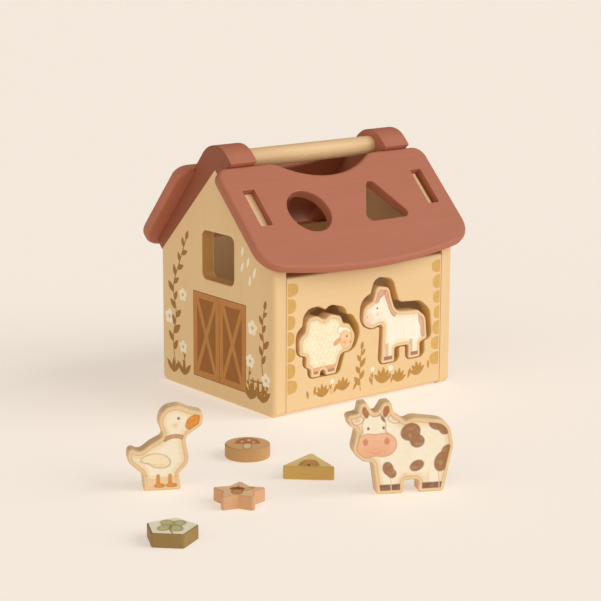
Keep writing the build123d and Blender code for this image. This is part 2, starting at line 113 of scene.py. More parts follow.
class BarnPrint(PropertyGroup):
    """Sizes of what is printed on the boards."""

    ink: length("Ink", "Thickness of the printed layer above the paint", 0.05)
    door_width: length("Door width", "Both leaves of the printed door together", 73.4)
    door_height: length("Door height", "Height of the printed door", 72.7)
    door_sill: length("Door sill", "Height of the door's lower edge", 14.2)
    door_centre: length("Door centre", "Place of the door, to the right seen from outside", 4.8)
    loft_width: length("Loft width", "Width of the loft door on the gable without a window", 40.0)
    loft_height: length("Loft height", "Height of the loft door", 34.0)
    loft_sill: length("Loft sill", "Height of the loft door's lower edge", 102.0)
    door_board: length("Door board", "Width of the door's frame boards", 5.0)
    door_brace: length("Door brace", "Width of the door's crossed braces", 4.2)
    leaf_length: length("Leaf length", "Length of a leaf at the foot of a sprig", 13.0)
    leaf_width: length("Leaf width", "Width of a leaf", 6.2)
    blade_width: length("Blade width", "Width of a blade of a tuft", 4.2)
    stem: length("Stem", "Width of a stem", 1.1)
    stone_count: IntProperty(name="Stones", description="Corner stones in each column", default=7)
    stone_foot: length(
        "Stone foot", "Height of the lowest corner stone's middle over the flap's lower edge", 22.0)
    stone_pitch: length("Stone pitch", "Height of one corner stone and its joint", 13.3)
    stone_width: length("Stone width", "Width of the widest corner stones", 10.0)
    waist: FloatProperty(
        name="Waist", description="Share by which the stones beside the cut-outs are narrower", default=0.38)
    seed: IntProperty(name="Seed", description="Seed of the small differences", default=7)


class BarnPieces(PropertyGroup):
    """How the printed faces of the loose pieces are drawn."""

    border: length("Border", "Bare wood left round a printed animal", 1.7)
    step: length("Step", "Distance between the painted points", 0.5)
    lift: length("Lift", "Height of the printed face above the wood", 0.05)


class BarnStage(PropertyGroup):
    """Camera, lights and floor."""

    camera: FloatVectorProperty(
        name="Camera", description="Place of the camera", subtype="TRANSLATION", unit="LENGTH",
        default=(-0.9980, -1.2539, 0.4354))
    yaw: angle("Yaw", "Turn of the view to the right of the depth axis", 38.34)
    pitch: angle("Pitch", "How far the view looks down", 12.83)
    roll: angle("Roll", "Turn of the view about its own axis", 0.26)
    lens: FloatProperty(name="Lens", description="Focal length in millimetres", default=115.67)
    floor: colour("Floor", "Plain pale floor", (249, 240, 230))
    key: FloatProperty(name="Key", description="Strength of the soft light from the right", default=1.8)
    softness: angle("Softness", "How wide the soft light from the right is", 55)
    side: FloatProperty(name="Side", description="Strength of the wide light from the left", default=0.95)
    fill: FloatProperty(name="Fill", description="Strength of the light from all round", default=0.28)
    glow: FloatProperty(name="Glow", description="Light of the lit floor paper itself", default=0.48)
    paper: FloatProperty(
        name="Paper", description="Share of the light that the floor paper throws back", default=0.68)


def colours():
    return bpy.context.scene.barn_colours


def prints():
    return bpy.context.scene.barn_print


# Node trees


def feed(tree, node, inputs):
    """Links or sets the inputs of a node, named by label or number."""
    for key, value in inputs.items():
        socket = node.inputs[key]
        value = value.socket if isinstance(value, Number) else value
        if isinstance(value, bpy.types.NodeSocket):
            tree.links.new(value, socket)
        else:
            socket.default_value = opaque(value) if socket.type == "RGBA" else value


def add(tree, kind, inputs=None, **settings):
    """Adds a node, sets its properties and feeds its inputs."""
    node = tree.nodes.new(kind)
    for key, value in settings.items():
        setattr(node, key, value)
    feed(tree, node, inputs or {})
    return node


def calc(tree, operation, *values):
    """Number that a math node makes of others."""
    node = add(tree, "ShaderNodeMath", dict(enumerate(values)), operation=operation)
    return Number(tree, node.outputs[0])


def method(operation, swapped=False):
    """Method of a number that adds a math node."""
    def run(self, *others):
        values = (self, *others)
        return calc(self.tree, operation, *(values[::-1] if swapped else values))
    return run


class Number:
    """Number carried by a socket. Arithmetic with it adds math nodes to its tree."""

    def __init__(self, tree, socket):
        self.tree, self.socket = tree, socket

    __add__, __radd__ = method("ADD"), method("ADD", True)
    __sub__, __rsub__ = method("SUBTRACT"), method("SUBTRACT", True)
    __mul__, __truediv__, __mod__, __pow__ = map(method, ("MULTIPLY", "DIVIDE", "MODULO", "POWER"))
    __gt__, __lt__, __abs__ = map(method, ("GREATER_THAN", "LESS_THAN", "ABSOLUTE"))
    at_least, at_most, sign, sine = map(method, ("MAXIMUM", "MINIMUM", "SIGN", "SINE"))


def inside(value, low, high):
    """1 where a value lies between two limits."""
    return (value > low) * (value < high)


def object_place(tree):
    return add(tree, "ShaderNodeTexCoord").outputs["Object"]


def split(tree, place):
    """The three coordinates of a place."""
    return [Number(tree, socket) for socket in add(tree, "ShaderNodeSeparateXYZ", {0: place}).outputs]


def vector(tree, x=0.0, y=0.0, z=0.0):
    return add(tree, "ShaderNodeCombineXYZ", {0: x, 1: y, 2: z}).outputs[0]


def scaled(tree, place, factors):
    """Place stretched by three factors."""
    return add(tree, "ShaderNodeMapping", {"Vector": place, "Scale": factors}).outputs[0]


def speckle(tree, place, scale, detail, **more):
    """Value of a noise at a place."""
    inputs = {"Vector": place, "Scale": scale, "Detail": detail, **more}
    return add(tree, "ShaderNodeTexNoise", inputs).outputs[0]


def grouped(tree, name, inputs):
    """Outputs of a shader group."""
    return add(tree, "ShaderNodeGroup", inputs, node_tree=bpy.data.node_groups[name]).outputs


def blend(tree, factor, first, second, mode="MIX"):
    """Colour between two colours."""
    inputs = {0: factor, 6: first, 7: second}
    return add(tree, "ShaderNodeMix", inputs, data_type="RGBA", blend_type=mode).outputs[2]


def ramp(tree, value, low, high):
    """Number stretched so that low becomes 0 and high becomes 1."""
    return Number(tree, add(tree, "ShaderNodeMapRange", {0: value, 1: low, 2: high}).outputs[0])


def between(tree, value, low, high):
    """Number that is low where a value is 0, and high where it is 1."""
    return Number(tree, add(tree, "ShaderNodeMapRange", {0: value, 3: low, 4: high}).outputs[0])


def start_tree(name, kind, inputs, outputs):
    """New node group with its sockets, and what it is given."""
    tree = bpy.data.node_groups.new(name, kind)
    for label, socket_type, default in inputs:
        socket = tree.interface.new_socket(label, in_out="INPUT", socket_type=socket_type)
        if default is not None:
            socket.default_value = default
    for label, socket_type in outputs:
        tree.interface.new_socket(label, in_out="OUTPUT", socket_type=socket_type)
    return tree, {socket.name: Number(tree, socket) for socket in tree.nodes.new("NodeGroupInput").outputs}


FLOAT, INT, VECTOR = "NodeSocketFloat", "NodeSocketInt", "NodeSocketVector"
COLOR, GEOMETRY, MATERIAL = "NodeSocketColor", "NodeSocketGeometry", "NodeSocketMaterial"


# Shader groups


def wood_fibres_group():
    """Long fibres along one axis, and slow changes of tone from board to board."""
    inputs = [("Turn", VECTOR, (0, 0, 0)), ("Fibre width", FLOAT, 1.0)]
    tree, given = start_tree("wood_fibres", "ShaderNodeTree", inputs, [("Fibre", FLOAT), ("Tone", FLOAT)])
    turned = {"Vector": object_place(tree), "Rotation": given["Turn"]}
    place = add(tree, "ShaderNodeMapping", turned).outputs[0]
    squeezed = {0: scaled(tree, place, (18, 420, 420)), 3: given["Fibre width"]}
    fine = add(tree, "ShaderNodeVectorMath", squeezed, operation="SCALE").outputs[0]
    fibre = speckle(tree, fine, 1.0, 3.0, Roughness=0.6)
    tone = speckle(tree, scaled(tree, place, (5, 38, 38)), 1.0, 2.0, Distortion=0.6)
    add(tree, "NodeGroupOutput", {"Fibre": fibre, "Tone": tone})


def brushed_paint_group():
    """Thin matt paint over wood: a little fibre and a little unevenness show through."""
    inputs = [("Colour", COLOR, (0.8, 0.8, 0.8, 1)), ("Shade", COLOR, (0.5, 0.5, 0.5, 1)),
              ("Turn", VECTOR, (0, 0, 0)), ("Unevenness", FLOAT, 0.2)]
    outputs = [("Colour", COLOR), ("Roughness", FLOAT), ("Height", FLOAT)]
    tree, given = start_tree("brushed_paint", "ShaderNodeTree", inputs, outputs)
    fibres = grouped(tree, "wood_fibres", {"Turn": given["Turn"], "Fibre width": 1.0})
    streak = ramp(tree, fibres["Fibre"], 0.35, 0.75) * 0.5
    patch = ramp(tree, fibres["Tone"], 0.35, 0.7) * 0.5
    painted = blend(tree, (streak + patch) * given["Unevenness"], given["Colour"], given["Shade"])
    rough = between(tree, fibres["Fibre"], 0.5, 0.66)
    add(tree, "NodeGroupOutput", {"Colour": painted, "Roughness": rough, "Height": fibres["Fibre"]})


def finish_material(name):
    """New material with its tree and its Principled shader."""
    material = bpy.data.materials.new(name)
    material.use_nodes = True
    return material, material.node_tree, material.node_tree.nodes["Principled BSDF"]


def deeper(shade, share):
    """Darker, warmer version of a linear colour."""
    return (shade[0] * share, shade[1] * share ** 1.35, shade[2] * share ** 1.8)


def opaque(shade):
    return (*shade, 1)


def relief(tree, height, strength):
    """Normal of a fine relief."""
    inputs = {"Height": height, "Strength": strength, "Distance": RELIEF_DEPTH}
    return add(tree, "ShaderNodeBump", inputs).outputs[0]


def wear_paint(tree, shader, base, shade, turn, unevenness, bump):
    """Feeds a shader with brushed paint. The colours may come from sockets."""
    inputs = {"Colour": base, "Shade": shade, "Turn": turn, "Unevenness": unevenness}
    paint = grouped(tree, "brushed_paint", inputs)
    feed(tree, shader, {"Base Color": paint["Colour"], "Roughness": paint["Roughness"],
                        "Normal": relief(tree, paint["Height"], bump)})


def painted_wood(name, shade, unevenness, bump):
    material, tree, shader = finish_material(name)
    wear_paint(tree, shader, shade, deeper(shade, 0.8), (0, 0, 0), unevenness, bump)
    return material


def bare_wood(name, shade):
    """Lacquered beech with visible fibres and short darker flecks."""
    material, tree, shader = finish_material(name)
    fibres = grouped(tree, "wood_fibres", {"Fibre width": 0.7})
    toned = blend(tree, ramp(tree, fibres["Tone"], 0.3, 0.75), shade, deeper(shade, 0.84))
    streaked = blend(tree, ramp(tree, fibres["Fibre"], 0.45, 0.72) * 0.4, toned, deeper(shade, 0.68))
    flecks = speckle(tree, scaled(tree, object_place(tree), (160, 1500, 1500)), 1.0, 1.0)
    flecked = blend(tree, ramp(tree, flecks, 0.66, 0.74) * 0.3, streaked, deeper(shade, 0.5))
    feed(tree, shader, {"Base Color": flecked, "Roughness": between(tree, fibres["Fibre"], 0.42, 0.6),
                        "Normal": relief(tree, fibres["Fibre"], 0.15)})
    return material


def gable_material(name, wall, beech, reveal):
    """Cream paint on the board, a darker paint on the window's walls as painted shade, and bare wood on the
    tabs above its slopes.
    """
    material, tree, shader = finish_material(name)
    x, y, z = split(tree, object_place(tree))
    above_slope = abs(y) * sin(ROOF_PITCH) + (z - APEX_HEIGHT) * cos(ROOF_PITCH)
    on_tab = ramp(tree, above_slope, *TAB_EDGE) * (y > -SHOULDER_DEPTH)
    between_faces = inside(x, GABLE_LOW.x + CUT_SKIN, GABLE_HIGH.x - CUT_SKIN)
    # Painted shade on the walls of the window
    window = between_faces * inside(y, -WINDOW_REACH, WINDOW_REACH) * inside(z, WINDOW_FOOT, WINDOW_TOP)
    base = blend(tree, on_tab, blend(tree, window, wall, reveal), beech)
    shade = blend(tree, on_tab, deeper(wall, 0.8), deeper(beech, 0.6))
    wear_paint(tree, shader, base, shade, (0, radians(90), 0), 0.25, 0.12)
    return material


def wall_material(name, wall, cut):
    """Cream paint on the long walls, and a darker, more golden paint on the walls of their cut-outs as
    painted shade.
    """
    material, tree, shader = finish_material(name)
    x, y, z = split(tree, object_place(tree))
    between_faces = inside(abs(y), -FLAP_HIGH.y + CUT_SKIN, -FLAP_LOW.y - CUT_SKIN)
    # Painted shade on the walls of the cut-outs
    painted_cut_shade = between_faces * (abs(x) < CUT_REACH) * inside(z, CUT_FOOT, CUT_TOP)
    base = blend(tree, painted_cut_shade, wall, cut)
    shade = blend(tree, painted_cut_shade, deeper(wall, 0.8), deeper(cut, 0.8))
    wear_paint(tree, shader, base, shade, (0, 0, 0), 0.22, 0.12)
    return material


def bracket_material(name, shade):
    """Roof paint, darker on the side faces that lie flush with the gables' faces: painted shade on those
    sides.
    """
    material, tree, shader = finish_material(name)
    x = split(tree, object_place(tree))[0]
    # Painted shade: a darker paint on the side faces at the gables' faces
    painted_side_shade = ramp(tree, abs(x), -GABLE_LOW.x - 1.0 * MM, -GABLE_LOW.x - 0.2 * MM)
    base = blend(tree, painted_side_shade, shade, deeper(shade, 0.66))
    darker = blend(tree, painted_side_shade, deeper(shade, 0.8), deeper(shade, 0.55))
    wear_paint(tree, shader, base, darker, (0, 0, radians(90)), 0.3, 0.16)
    return material


def ink_material(name, shade, strength=0.35):
    """Printed ink with the paint's unevenness and a faint mottle of its own."""
    material, tree, shader = finish_material(name)
    mottle = speckle(tree, object_place(tree), 260.0, 4.0)
    base = blend(tree, ramp(tree, mottle, 0.38, 0.7) * strength, shade, deeper(shade, 0.78))
    wear_paint(tree, shader, base, deeper(shade, 0.7), (0, radians(90), 0), 0.3, 0.1)
    return material


def picture_material():
    """Soft print whose colours are kept on the mesh."""
    material, tree, shader = finish_material("picture_print")
    print_colour = add(tree, "ShaderNodeAttribute", attribute_name="print").outputs["Color"]
    shade = blend(tree, 1.0, print_colour, (0.8, 0.72, 0.62), mode="MULTIPLY")
    wear_paint(tree, shader, print_colour, shade, (0, radians(90), 0), 0.3, 0.1)


def metal(name, shade, roughness):
    """Plain metal with fine scratches."""
    material, tree, shader = finish_material(name)
    scratches = speckle(tree, object_place(tree), 900.0, 2.0)
    rough = between(tree, scratches, roughness, roughness + 0.2)
    feed(tree, shader, {"Roughness": rough, "Base Color": shade, "Metallic": 1.0})
    return material


def wear(material, *nodes):
    """Gives CAD nodes their finish."""
    for node in nodes:
        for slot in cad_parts[node].material_slots:
            slot.material = material


# Pieces made of mesh


def wall_place(origin, outward):
    """Matrix of a wall seen from outside: X to the right, Y up, Z out of the wall."""
    outward = Vector(outward)
    right = UP.cross(outward)
    place = Matrix((right, UP, outward)).transposed().to_4x4()
    place.translation = Vector(origin)
    return place


WALLS = {
    "left": (wall_place((GABLE_LOW.x, 0, 0), (-1, 0, 0)), "barn", "left_gable"),
    "right": (wall_place((-GABLE_LOW.x, 0, 0), (1, 0, 0)), "barn", "right_gable"),
    "front": (wall_place((0, FLAP_LOW.y, 0), (0, -1, 0)), "flap", "front_flap"),
    "back": (wall_place((0, BACK_HIGH.y, 0), (0, 1, 0)), "barn", "back_wall"),
}


def prism(bm, outline, low, high, material_index=0):
    """Adds a closed flat prism over an outline that runs anticlockwise."""
    bottom = [bm.verts.new((x, y, low)) for x, y in outline]
    top = [bm.verts.new((x, y, high)) for x, y in outline]
    sides = [(bottom[i - 1], bottom[i], top[i], top[i - 1]) for i in range(len(outline))]
    for corners in [top, bottom[::-1]] + sides:
        bm.faces.new(corners).material_index = material_index


def linked(name, data):
    """New object in the scene."""
    thing = bpy.data.objects.new(name, data)
    bpy.context.scene.collection.objects.link(thing)
    return thing


def keep_piece(name, mesh, materials, place, body, slot):
    """Links a finished mesh as a piece that rides on a body."""
    mesh.transform(place)
    for material in materials:
        mesh.materials.append(material)
    piece = linked(name, mesh)
    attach(piece, body)


def mesh_from(bm, name):
    mesh = bpy.data.meshes.new(name)
    bm.to_mesh(mesh)
    bm.free()
    return mesh


def band(start, end, width):
    """Corners of a straight strip between two points."""
    along = (Vector(end) - Vector(start)).normalized()
    aside = Vector((along.y, -along.x)) * width / 2
    return [Vector(start) + aside, Vector(end) + aside, Vector(end) - aside, Vector(start) - aside]


def rectangle(left, bottom, right, top):
    return [(left, bottom), (right, bottom), (right, top), (left, top)]


# Geometry trees


def index(tree):
    return Number(tree, add(tree, "GeometryNodeInputIndex").outputs[0])


def position(tree):
    return add(tree, "GeometryNodeInputPosition").outputs[0]


def moved(tree, geometry, place):
    """Geometry whose points go to a place."""
    return add(tree, "GeometryNodeSetPosition", {"Geometry": geometry, "Position": place}).outputs[0]


def chance(tree, low, high, seed):
    """Number drawn for each copy."""
    return add(tree, "FunctionNodeRandomValue", {2: low, 3: high, "Seed": seed}).outputs[1]


def product(tree, first, second):
    """Product of two vectors, axis by axis."""
    return add(tree, "ShaderNodeVectorMath", {0: first, 1: second}, operation="MULTIPLY").outputs[0]


def row_of_points(tree, count, step):
    return add(tree, "GeometryNodeMeshLine", {"Count": count, "Offset": step}).outputs[0]


def disc(tree, corners, thickness):
    """Flat disc of radius 1."""
    inputs = {"Vertices": corners, "Radius": 1.0, "Depth": thickness}
    return add(tree, "GeometryNodeMeshCylinder", inputs).outputs["Mesh"]


def copies(tree, points, instance, scale, **more):
    """Copies of a geometry on points."""
    inputs = {"Points": points, "Instance": instance, "Scale": scale, **more}
    return add(tree, "GeometryNodeInstanceOnPoints", inputs).outputs[0]


def leaf_mesh(tree, given):
    """Closed flat leaf that starts at the origin and points along X."""
    x, y, z = split(tree, position(tree))
    along = (x + 1.0) * (given["Leaf length"] * 0.5)
    tip = (1.0 - x.at_most(1.0)) ** (given["Pointed"] * 0.5)
    foot = (1.0 + x.at_least(-1.0)) ** (given["Drawn in"] * 0.5)
    across = y * (tip * foot) * (given["Leaf width"] * 0.5)
    return moved(tree, disc(tree, LEAF_CORNERS, given["Thickness"]), vector(tree, along, across, z))


def start_growth(name, inputs):
    """Geometry tree that grows a print from a curve or mesh."""
    inputs = [("Geometry", GEOMETRY, None), *inputs, ("Thickness", FLOAT, 0.0001), ("Seed", INT, 0),
              ("Material", MATERIAL, None)]
    return start_tree(name, "GeometryNodeTree", inputs, [("Geometry", GEOMETRY)])


def layered(tree, size, number, step=0.07):
    """Scale whose height grows a little with the number, so that leaves lie over one another."""
    return vector(tree, size, size, 1.0 + number * step)


def close_tree(tree, geometry, material):
    """Makes the copies real and gives them their material."""
    real = add(tree, "GeometryNodeRealizeInstances", {"Geometry": geometry}).outputs[0]
    dressed = add(tree, "GeometryNodeSetMaterial", {"Geometry": real, "Material": material}).outputs[0]
    add(tree, "NodeGroupOutput", {0: dressed})


LEAF_CORNERS, STONE_CORNERS, STEM_CORNERS = 16, 28, 8
LEAF_INPUTS = [
    ("Leaf length", FLOAT, 0.01), ("Leaf width", FLOAT, 0.004),
    ("Pointed", FLOAT, 1.0), ("Drawn in", FLOAT, 0.0),
]


def leafy_sprig_tree():
    """A stem along a curve, with leaves on both sides in turn and one at its tip."""
    inputs = [("Leaves", INT, 12), ("Spread", FLOAT, 0.8), ("Stem", FLOAT, 0.001), *LEAF_INPUTS]
    tree, given = start_growth("leafy_sprig", inputs)
    curve, count = given["Geometry"], given["Leaves"]
    circle = {"Resolution": STEM_CORNERS, "Radius": given["Stem"] * 0.5}
    ring = add(tree, "GeometryNodeCurvePrimitiveCircle", circle).outputs[0]
    tube = {"Curve": curve, "Profile Curve": ring, "Fill Caps": True}
    pressed = product(tree, position(tree), vector(tree, 1.0, 1.0, given["Thickness"] / given["Stem"]))
    stem = moved(tree, add(tree, "GeometryNodeCurveToMesh", tube).outputs[0], pressed)
    knots = add(tree, "GeometryNodeCurveToPoints", {"Curve": curve, "Count": count}).outputs
    number = index(tree) % count
    last = count - 1.0
    share = number / last
    side = number % 2.0 * 2.0 - 1.0
    not_tip = number < last - 0.5
    ahead, aside, _ = split(tree, knots["Tangent"])
    turn = calc(tree, "ARCTAN2", aside, ahead) + side * not_tip * given["Spread"]
    size = (1.0 - share * 0.38) * chance(tree, 0.85, 1.1, given["Seed"])
    leaves = copies(tree, knots["Points"], leaf_mesh(tree, given), layered(tree, size, number),
                    Selection=share > 0.12, Rotation=vector(tree, z=turn))
    both = add(tree, "GeometryNodeJoinGeometry")
    for part in (stem, leaves):
        tree.links.new(part, both.inputs[0])
    close_tree(tree, both.outputs[0], given["Material"])


def leaf_fan_tree():
    """Leaves that spread from each point of a mesh: a tuft, a flower or a single blade."""
    inputs = [("Leaves", INT, 5), ("Spread", FLOAT, 1.2), ("Start", FLOAT, 0.0), ("Outer size", FLOAT, 0.8),
              ("Lean", FLOAT, 0.1), ("Size change", FLOAT, 0.1), *LEAF_INPUTS]
    tree, given = start_growth("leaf_fan", inputs)
    number = index(tree)
    share = number / (given["Leaves"] - 1.0).at_least(1.0)
    turning = vector(tree, z=given["Start"] + share * given["Spread"])
    drop = abs(share * 2.0 - 1.0) * (1.0 - given["Outer size"])
    fan = copies(tree, row_of_points(tree, given["Leaves"], (0, 0, 0)), leaf_mesh(tree, given),
                 layered(tree, 1.0 - drop, number), Rotation=turning)
    lean, change, seed = given["Lean"], given["Size change"], given["Seed"]
    leaning = vector(tree, z=chance(tree, lean * -1.0, lean, seed))
    size = chance(tree, 1.0 - change, 1.0 + change, seed + 1.0)
    whole = copies(tree, given["Geometry"], fan, layered(tree, size, index(tree), 0.011), Rotation=leaning)
    close_tree(tree, whole, given["Material"])


def stone_column_tree():
    """Half-round corner stones, one above the other, that grow out of a straight edge."""
    inputs = [("Stones", INT, 8), ("Pitch", FLOAT, 0.012), ("Width", FLOAT, 0.01), ("Waist", FLOAT, 0.4)]
    tree, given = start_growth("stone_column", inputs)
    line = row_of_points(tree, given["Stones"], vector(tree, y=given["Pitch"]))
    x, y, z = split(tree, position(tree))
    reach = x.at_least(0.0) ** 0.75 * given["Width"]
    height = y.sign() * abs(y) ** 0.75 * (given["Pitch"] * 0.47)
    stone = moved(tree, disc(tree, STONE_CORNERS, given["Thickness"]), vector(tree, reach, height, z))
    limits = {"Min": (0.85, 0.84, 1.0), "Max": (1.15, 1.0, 1.0), "Seed": given["Seed"]}
    drawn = add(tree, "FunctionNodeRandomValue", limits, data_type="FLOAT_VECTOR").outputs[0]
    share = index(tree) / (given["Stones"] - 1.0)
    waist = (share * pi).sine() * given["Waist"]
    scale = product(tree, drawn, vector(tree, 1.0 - waist, 1.0, 1.0))
    close_tree(tree, copies(tree, line, stone, scale), given["Material"])


def grow(name, tree_name, data, values, material, place, body, slot):
    """Runs a geometry tree on a curve or mesh and keeps the result as a plain mesh piece."""
    source = linked(name + "_source", data)
    modifier = source.modifiers.new("growth", "NODES")
    modifier.node_group = bpy.data.node_groups[tree_name]
    values = {**values, "Material": material}
    for socket in modifier.node_group.interface.items_tree:
        if socket.in_out == "INPUT" and socket.name in values:
            modifier[socket.identifier] = values[socket.name]
    graph = bpy.context.evaluated_depsgraph_get()
    mesh = bpy.data.meshes.new_from_object(source.evaluated_get(graph), depsgraph=graph)
    mesh.name = name
    source.modifiers.remove(modifier)
    bpy.data.objects.remove(source)
    mesh.materials.clear()
    if not mesh.polygons:
        raise RuntimeError(f"{name} came out empty")
    keep_piece(name, mesh, [material], place, body, slot)


def stem_curve(name, paths):
    """Smooth open curves through the paths' points, in a wall's plane."""
    data = bpy.data.curves.new(name, "CURVE")
    data.dimensions = "3D"
    for path in paths:
        spline = data.splines.new("NURBS")
        spline.points.add(len(path) - 1)
        for point, (x, y) in zip(spline.points, path):
            point.co = (x * MM, y * MM, 0, 1)
        spline.order_u = 3
        spline.use_endpoint_u = True
        spline.resolution_u = 12
    return data


def point_mesh(name, points):
    """Loose points in a wall's plane."""
    mesh = bpy.data.meshes.new(name)
    mesh.from_pydata([(x * MM, y * MM, 0) for x, y in points], [], [])
    return mesh


# Painted faces


def flat_face(node, toward):
    """Direction and rim of a node's largest flat face that looks roughly a given way."""
    weld = 0.01 * MM
    bm = bmesh.new()
    bm.from_mesh(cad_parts[node].data)
    bmesh.ops.remove_doubles(bm, verts=bm.verts, dist=weld)
    bm.normal_update()
    seed = max((f for f in bm.faces if f.normal.dot(toward) > 0.8), key=lambda f: f.calc_area())
    outward = seed.normal.copy()
    level = outward.dot(seed.verts[0].co)
    flat = {f for f in bm.faces if all(abs(outward.dot(v.co) - level) < weld for v in f.verts)}
    rim = [e for e in bm.edges if sum(f in flat for f in e.link_faces) == 1]
    nearby = {}
    for edge in rim:
        for vert in edge.verts:
            nearby.setdefault(vert, []).append(edge.other_vert(vert))
    first = min(nearby, key=lambda v: tuple(v.co))
    loop, previous = [first], None
    while len(loop) < len(nearby):
        following = [v for v in nearby[loop[-1]] if v is not previous]
        if following[0] is first:
            break
        previous = loop[-1]
        loop.append(following[0])
    points = [v.co.copy() for v in loop]
    bm.free()
    return outward, level, points


def smooth(values):
    """Soft step from 0 to 1."""
    t = np.clip(values, 0, 1)
    return t * t * (3 - 2 * t)


class Picture:
    """Colours of the points of a printed face, laid on in washes. Places are in millimetres."""

    def __init__(self, points, rim, ground, zoom=(1, 1)):
        self.x, self.y = points[:, 0] / zoom[0], points[:, 1] / zoom[1]
        self.edge = self.line([*rim, rim[0]], 0)
        self.colour = np.tile(np.array(tint(ground)), (len(points), 1))
        self.mottle = np.array([noise.noise(Vector((x * 0.35, y * 0.35, 0))) for x, y in points])

    def wash(self, swatch, cover):
        """Mixes a colour in where cover is above 0."""
        self.colour += (np.array(tint(swatch)) - self.colour) * np.clip(cover, 0, 1)[:, None]

    def fill(self, swatch, distance, opacity=1.0, soft=0.5, rim=None):
        """Fills where distance is below 0, with a mottle and a rim of a colour and a width."""
        cover = smooth(0.5 - distance / soft)
        self.wash(swatch, opacity * cover * (1 + 0.25 * np.minimum(self.mottle, 0)))
        if rim:
            self.wash(rim[:3], 0.75 * opacity * np.exp(-(distance / rim[3]) ** 2))

    def oval(self, x, y, half_width, half_height, turn=0):
        """Distance to an oval."""
        c, s = cos(radians(turn)), sin(radians(turn))
        u, v = self.x - x, self.y - y
        u, v = c * u + s * v, c * v - s * u
        reach = np.sqrt((u / half_width) ** 2 + (v / half_height) ** 2)
        return (reach - 1) * min(half_width, half_height)

    def line(self, path, width):
        """Distance to a line of some width through the points of a path."""
        nearest = np.full(len(self.x), 1e9)
        for (x0, y0), (x1, y1) in zip(path, path[1:]):
            dx, dy = x1 - x0, y1 - y0
            run = max(dx * dx + dy * dy, 1e-9)
            t = np.clip(((self.x - x0) * dx + (self.y - y0) * dy) / run, 0, 1)
            nearest = np.minimum(nearest, np.hypot(self.x - x0 - t * dx, self.y - y0 - t * dy))
        return nearest - width / 2

    def merged(self, *distances, blend):
        """Distance to several shapes that flow into one another."""
        total = sum(np.exp(-d / blend * 3) for d in distances)
        return -np.log(np.maximum(total, 1e-30)) * blend / 3

    def ovals(self, *ovals, blend=1.5):
        """Distance to several ovals that flow into one another."""
        return self.merged(*(self.oval(*numbers) for numbers in ovals), blend=blend)

    def coat(self, light, shade):
        """Fills the animal's body inside the bare border, shaded towards its rim."""
        border = bpy.context.scene.barn_pieces.border / MM
        self.body = border - self.edge
        self.fill(light, self.body, soft=0.5)
        self.wash(shade, 0.55 * smooth(1 - (self.edge - border) / 5.0) * smooth(0.5 - self.body / 0.5))
        self.wash((186, 132, 74), 0.5 * np.exp(-(self.body / 0.35) ** 2))

    def mark(self, swatch, distance, **style):
        """Fills a shape as far as it lies in the animal's body."""
        self.fill(swatch, np.maximum(distance, self.body), **style)

    def arc(self, swatch, start, end, bow, width, **style):
        """Draws a flat arc between two points."""
        self.fill(swatch, self.line(bowed(start, end, bow), width), **style)

    def blush(self, swatch, share, x, y, half_width, half_height):
        """Soft round flush of a cheek."""
        depth = self.oval(x, y, half_width, half_height) + half_height
        self.wash(swatch, share * np.exp(-depth ** 2 / 3.0))

    def eye(self, x, y, radius=0.95):
        self.fill(DARK, self.oval(x, y, radius, radius * 1.15), soft=0.4)
        self.fill(CREAM, self.oval(x + 0.3 * radius, y + 0.4 * radius, 0.3 * radius, 0.3 * radius), soft=0.2)


BOW_STEPS = 8


def bowed(start, end, bow):
    """Points of a flat arc between two points, bowed to the left of the way there."""
    path = []
    dx, dy = end[0] - start[0], end[1] - start[1]
    reach = hypot(dx, dy)
    for i in range(BOW_STEPS + 1):
        t = i / BOW_STEPS
        out = 4 * t * (1 - t) * bow
        path.append((start[0] + t * dx - out * dy / reach, start[1] + t * dy + out * dx / reach))
    return path


# Rows of painted points as shares of the step: their pitch, and the least gap from the outline
ROW_PITCH, LEAST_GAP = 0.87, 0.45


def face_place(node, toward, left_end, foot, mirrored):
    """Matrix of a node's broad flat face, and its outline in millimetres, anticlockwise."""
    outward, level, rim = flat_face(node, toward)
    flat_on_floor = abs(outward.z) > 0.5
    up = Vector(draw_up(node)) if flat_on_floor else UP
    right = up.cross(outward)
    across = [right.dot(p) for p in rim]
    if flat_on_floor:
        middle = sum(rim, Vector()) / len(rim)
        aside, height = right.dot(middle), up.dot(middle)
    else:
        aside = max(across) + left_end * MM if mirrored else min(across) - left_end * MM
        height = foot
    place = Matrix((right, up, outward)).transposed().to_4x4()
    place.translation = outward * level + right * aside + up * height
    local = [place.inverted() @ p for p in rim]
    outline = [(p.x / MM, p.y / MM) for p in local]
    if sum(a[0] * b[1] - b[0] * a[1] for a, b in zip(outline, outline[1:] + outline[:1])) < 0:
        outline.reverse()
    return place, outline


def net_within(outline, step):
    """Points of an even net within an outline, and the triangles between them."""
    low, high = np.min(outline, axis=0), np.max(outline, axis=0)
    xs = np.arange(low[0], high[0], step)
    ys = np.arange(low[1], high[1], step * ROW_PITCH)
    grid = [(x + step / 2 * (row % 2), y) for row, y in enumerate(ys) for x in xs]
    gap = Picture(np.array(grid), outline, WOOD).edge
    inner = [p for p, d in zip(grid, gap) if d > step * LEAST_GAP]
    seeds = [Vector(p) for p in outline + inner]
    edges = [(i, (i + 1) % len(outline)) for i in range(len(outline))]
    corners, _, faces, *_ = delaunay_2d_cdt(seeds, edges, [], 1, 1e-6)
    return np.array([tuple(c) for c in corners]), faces


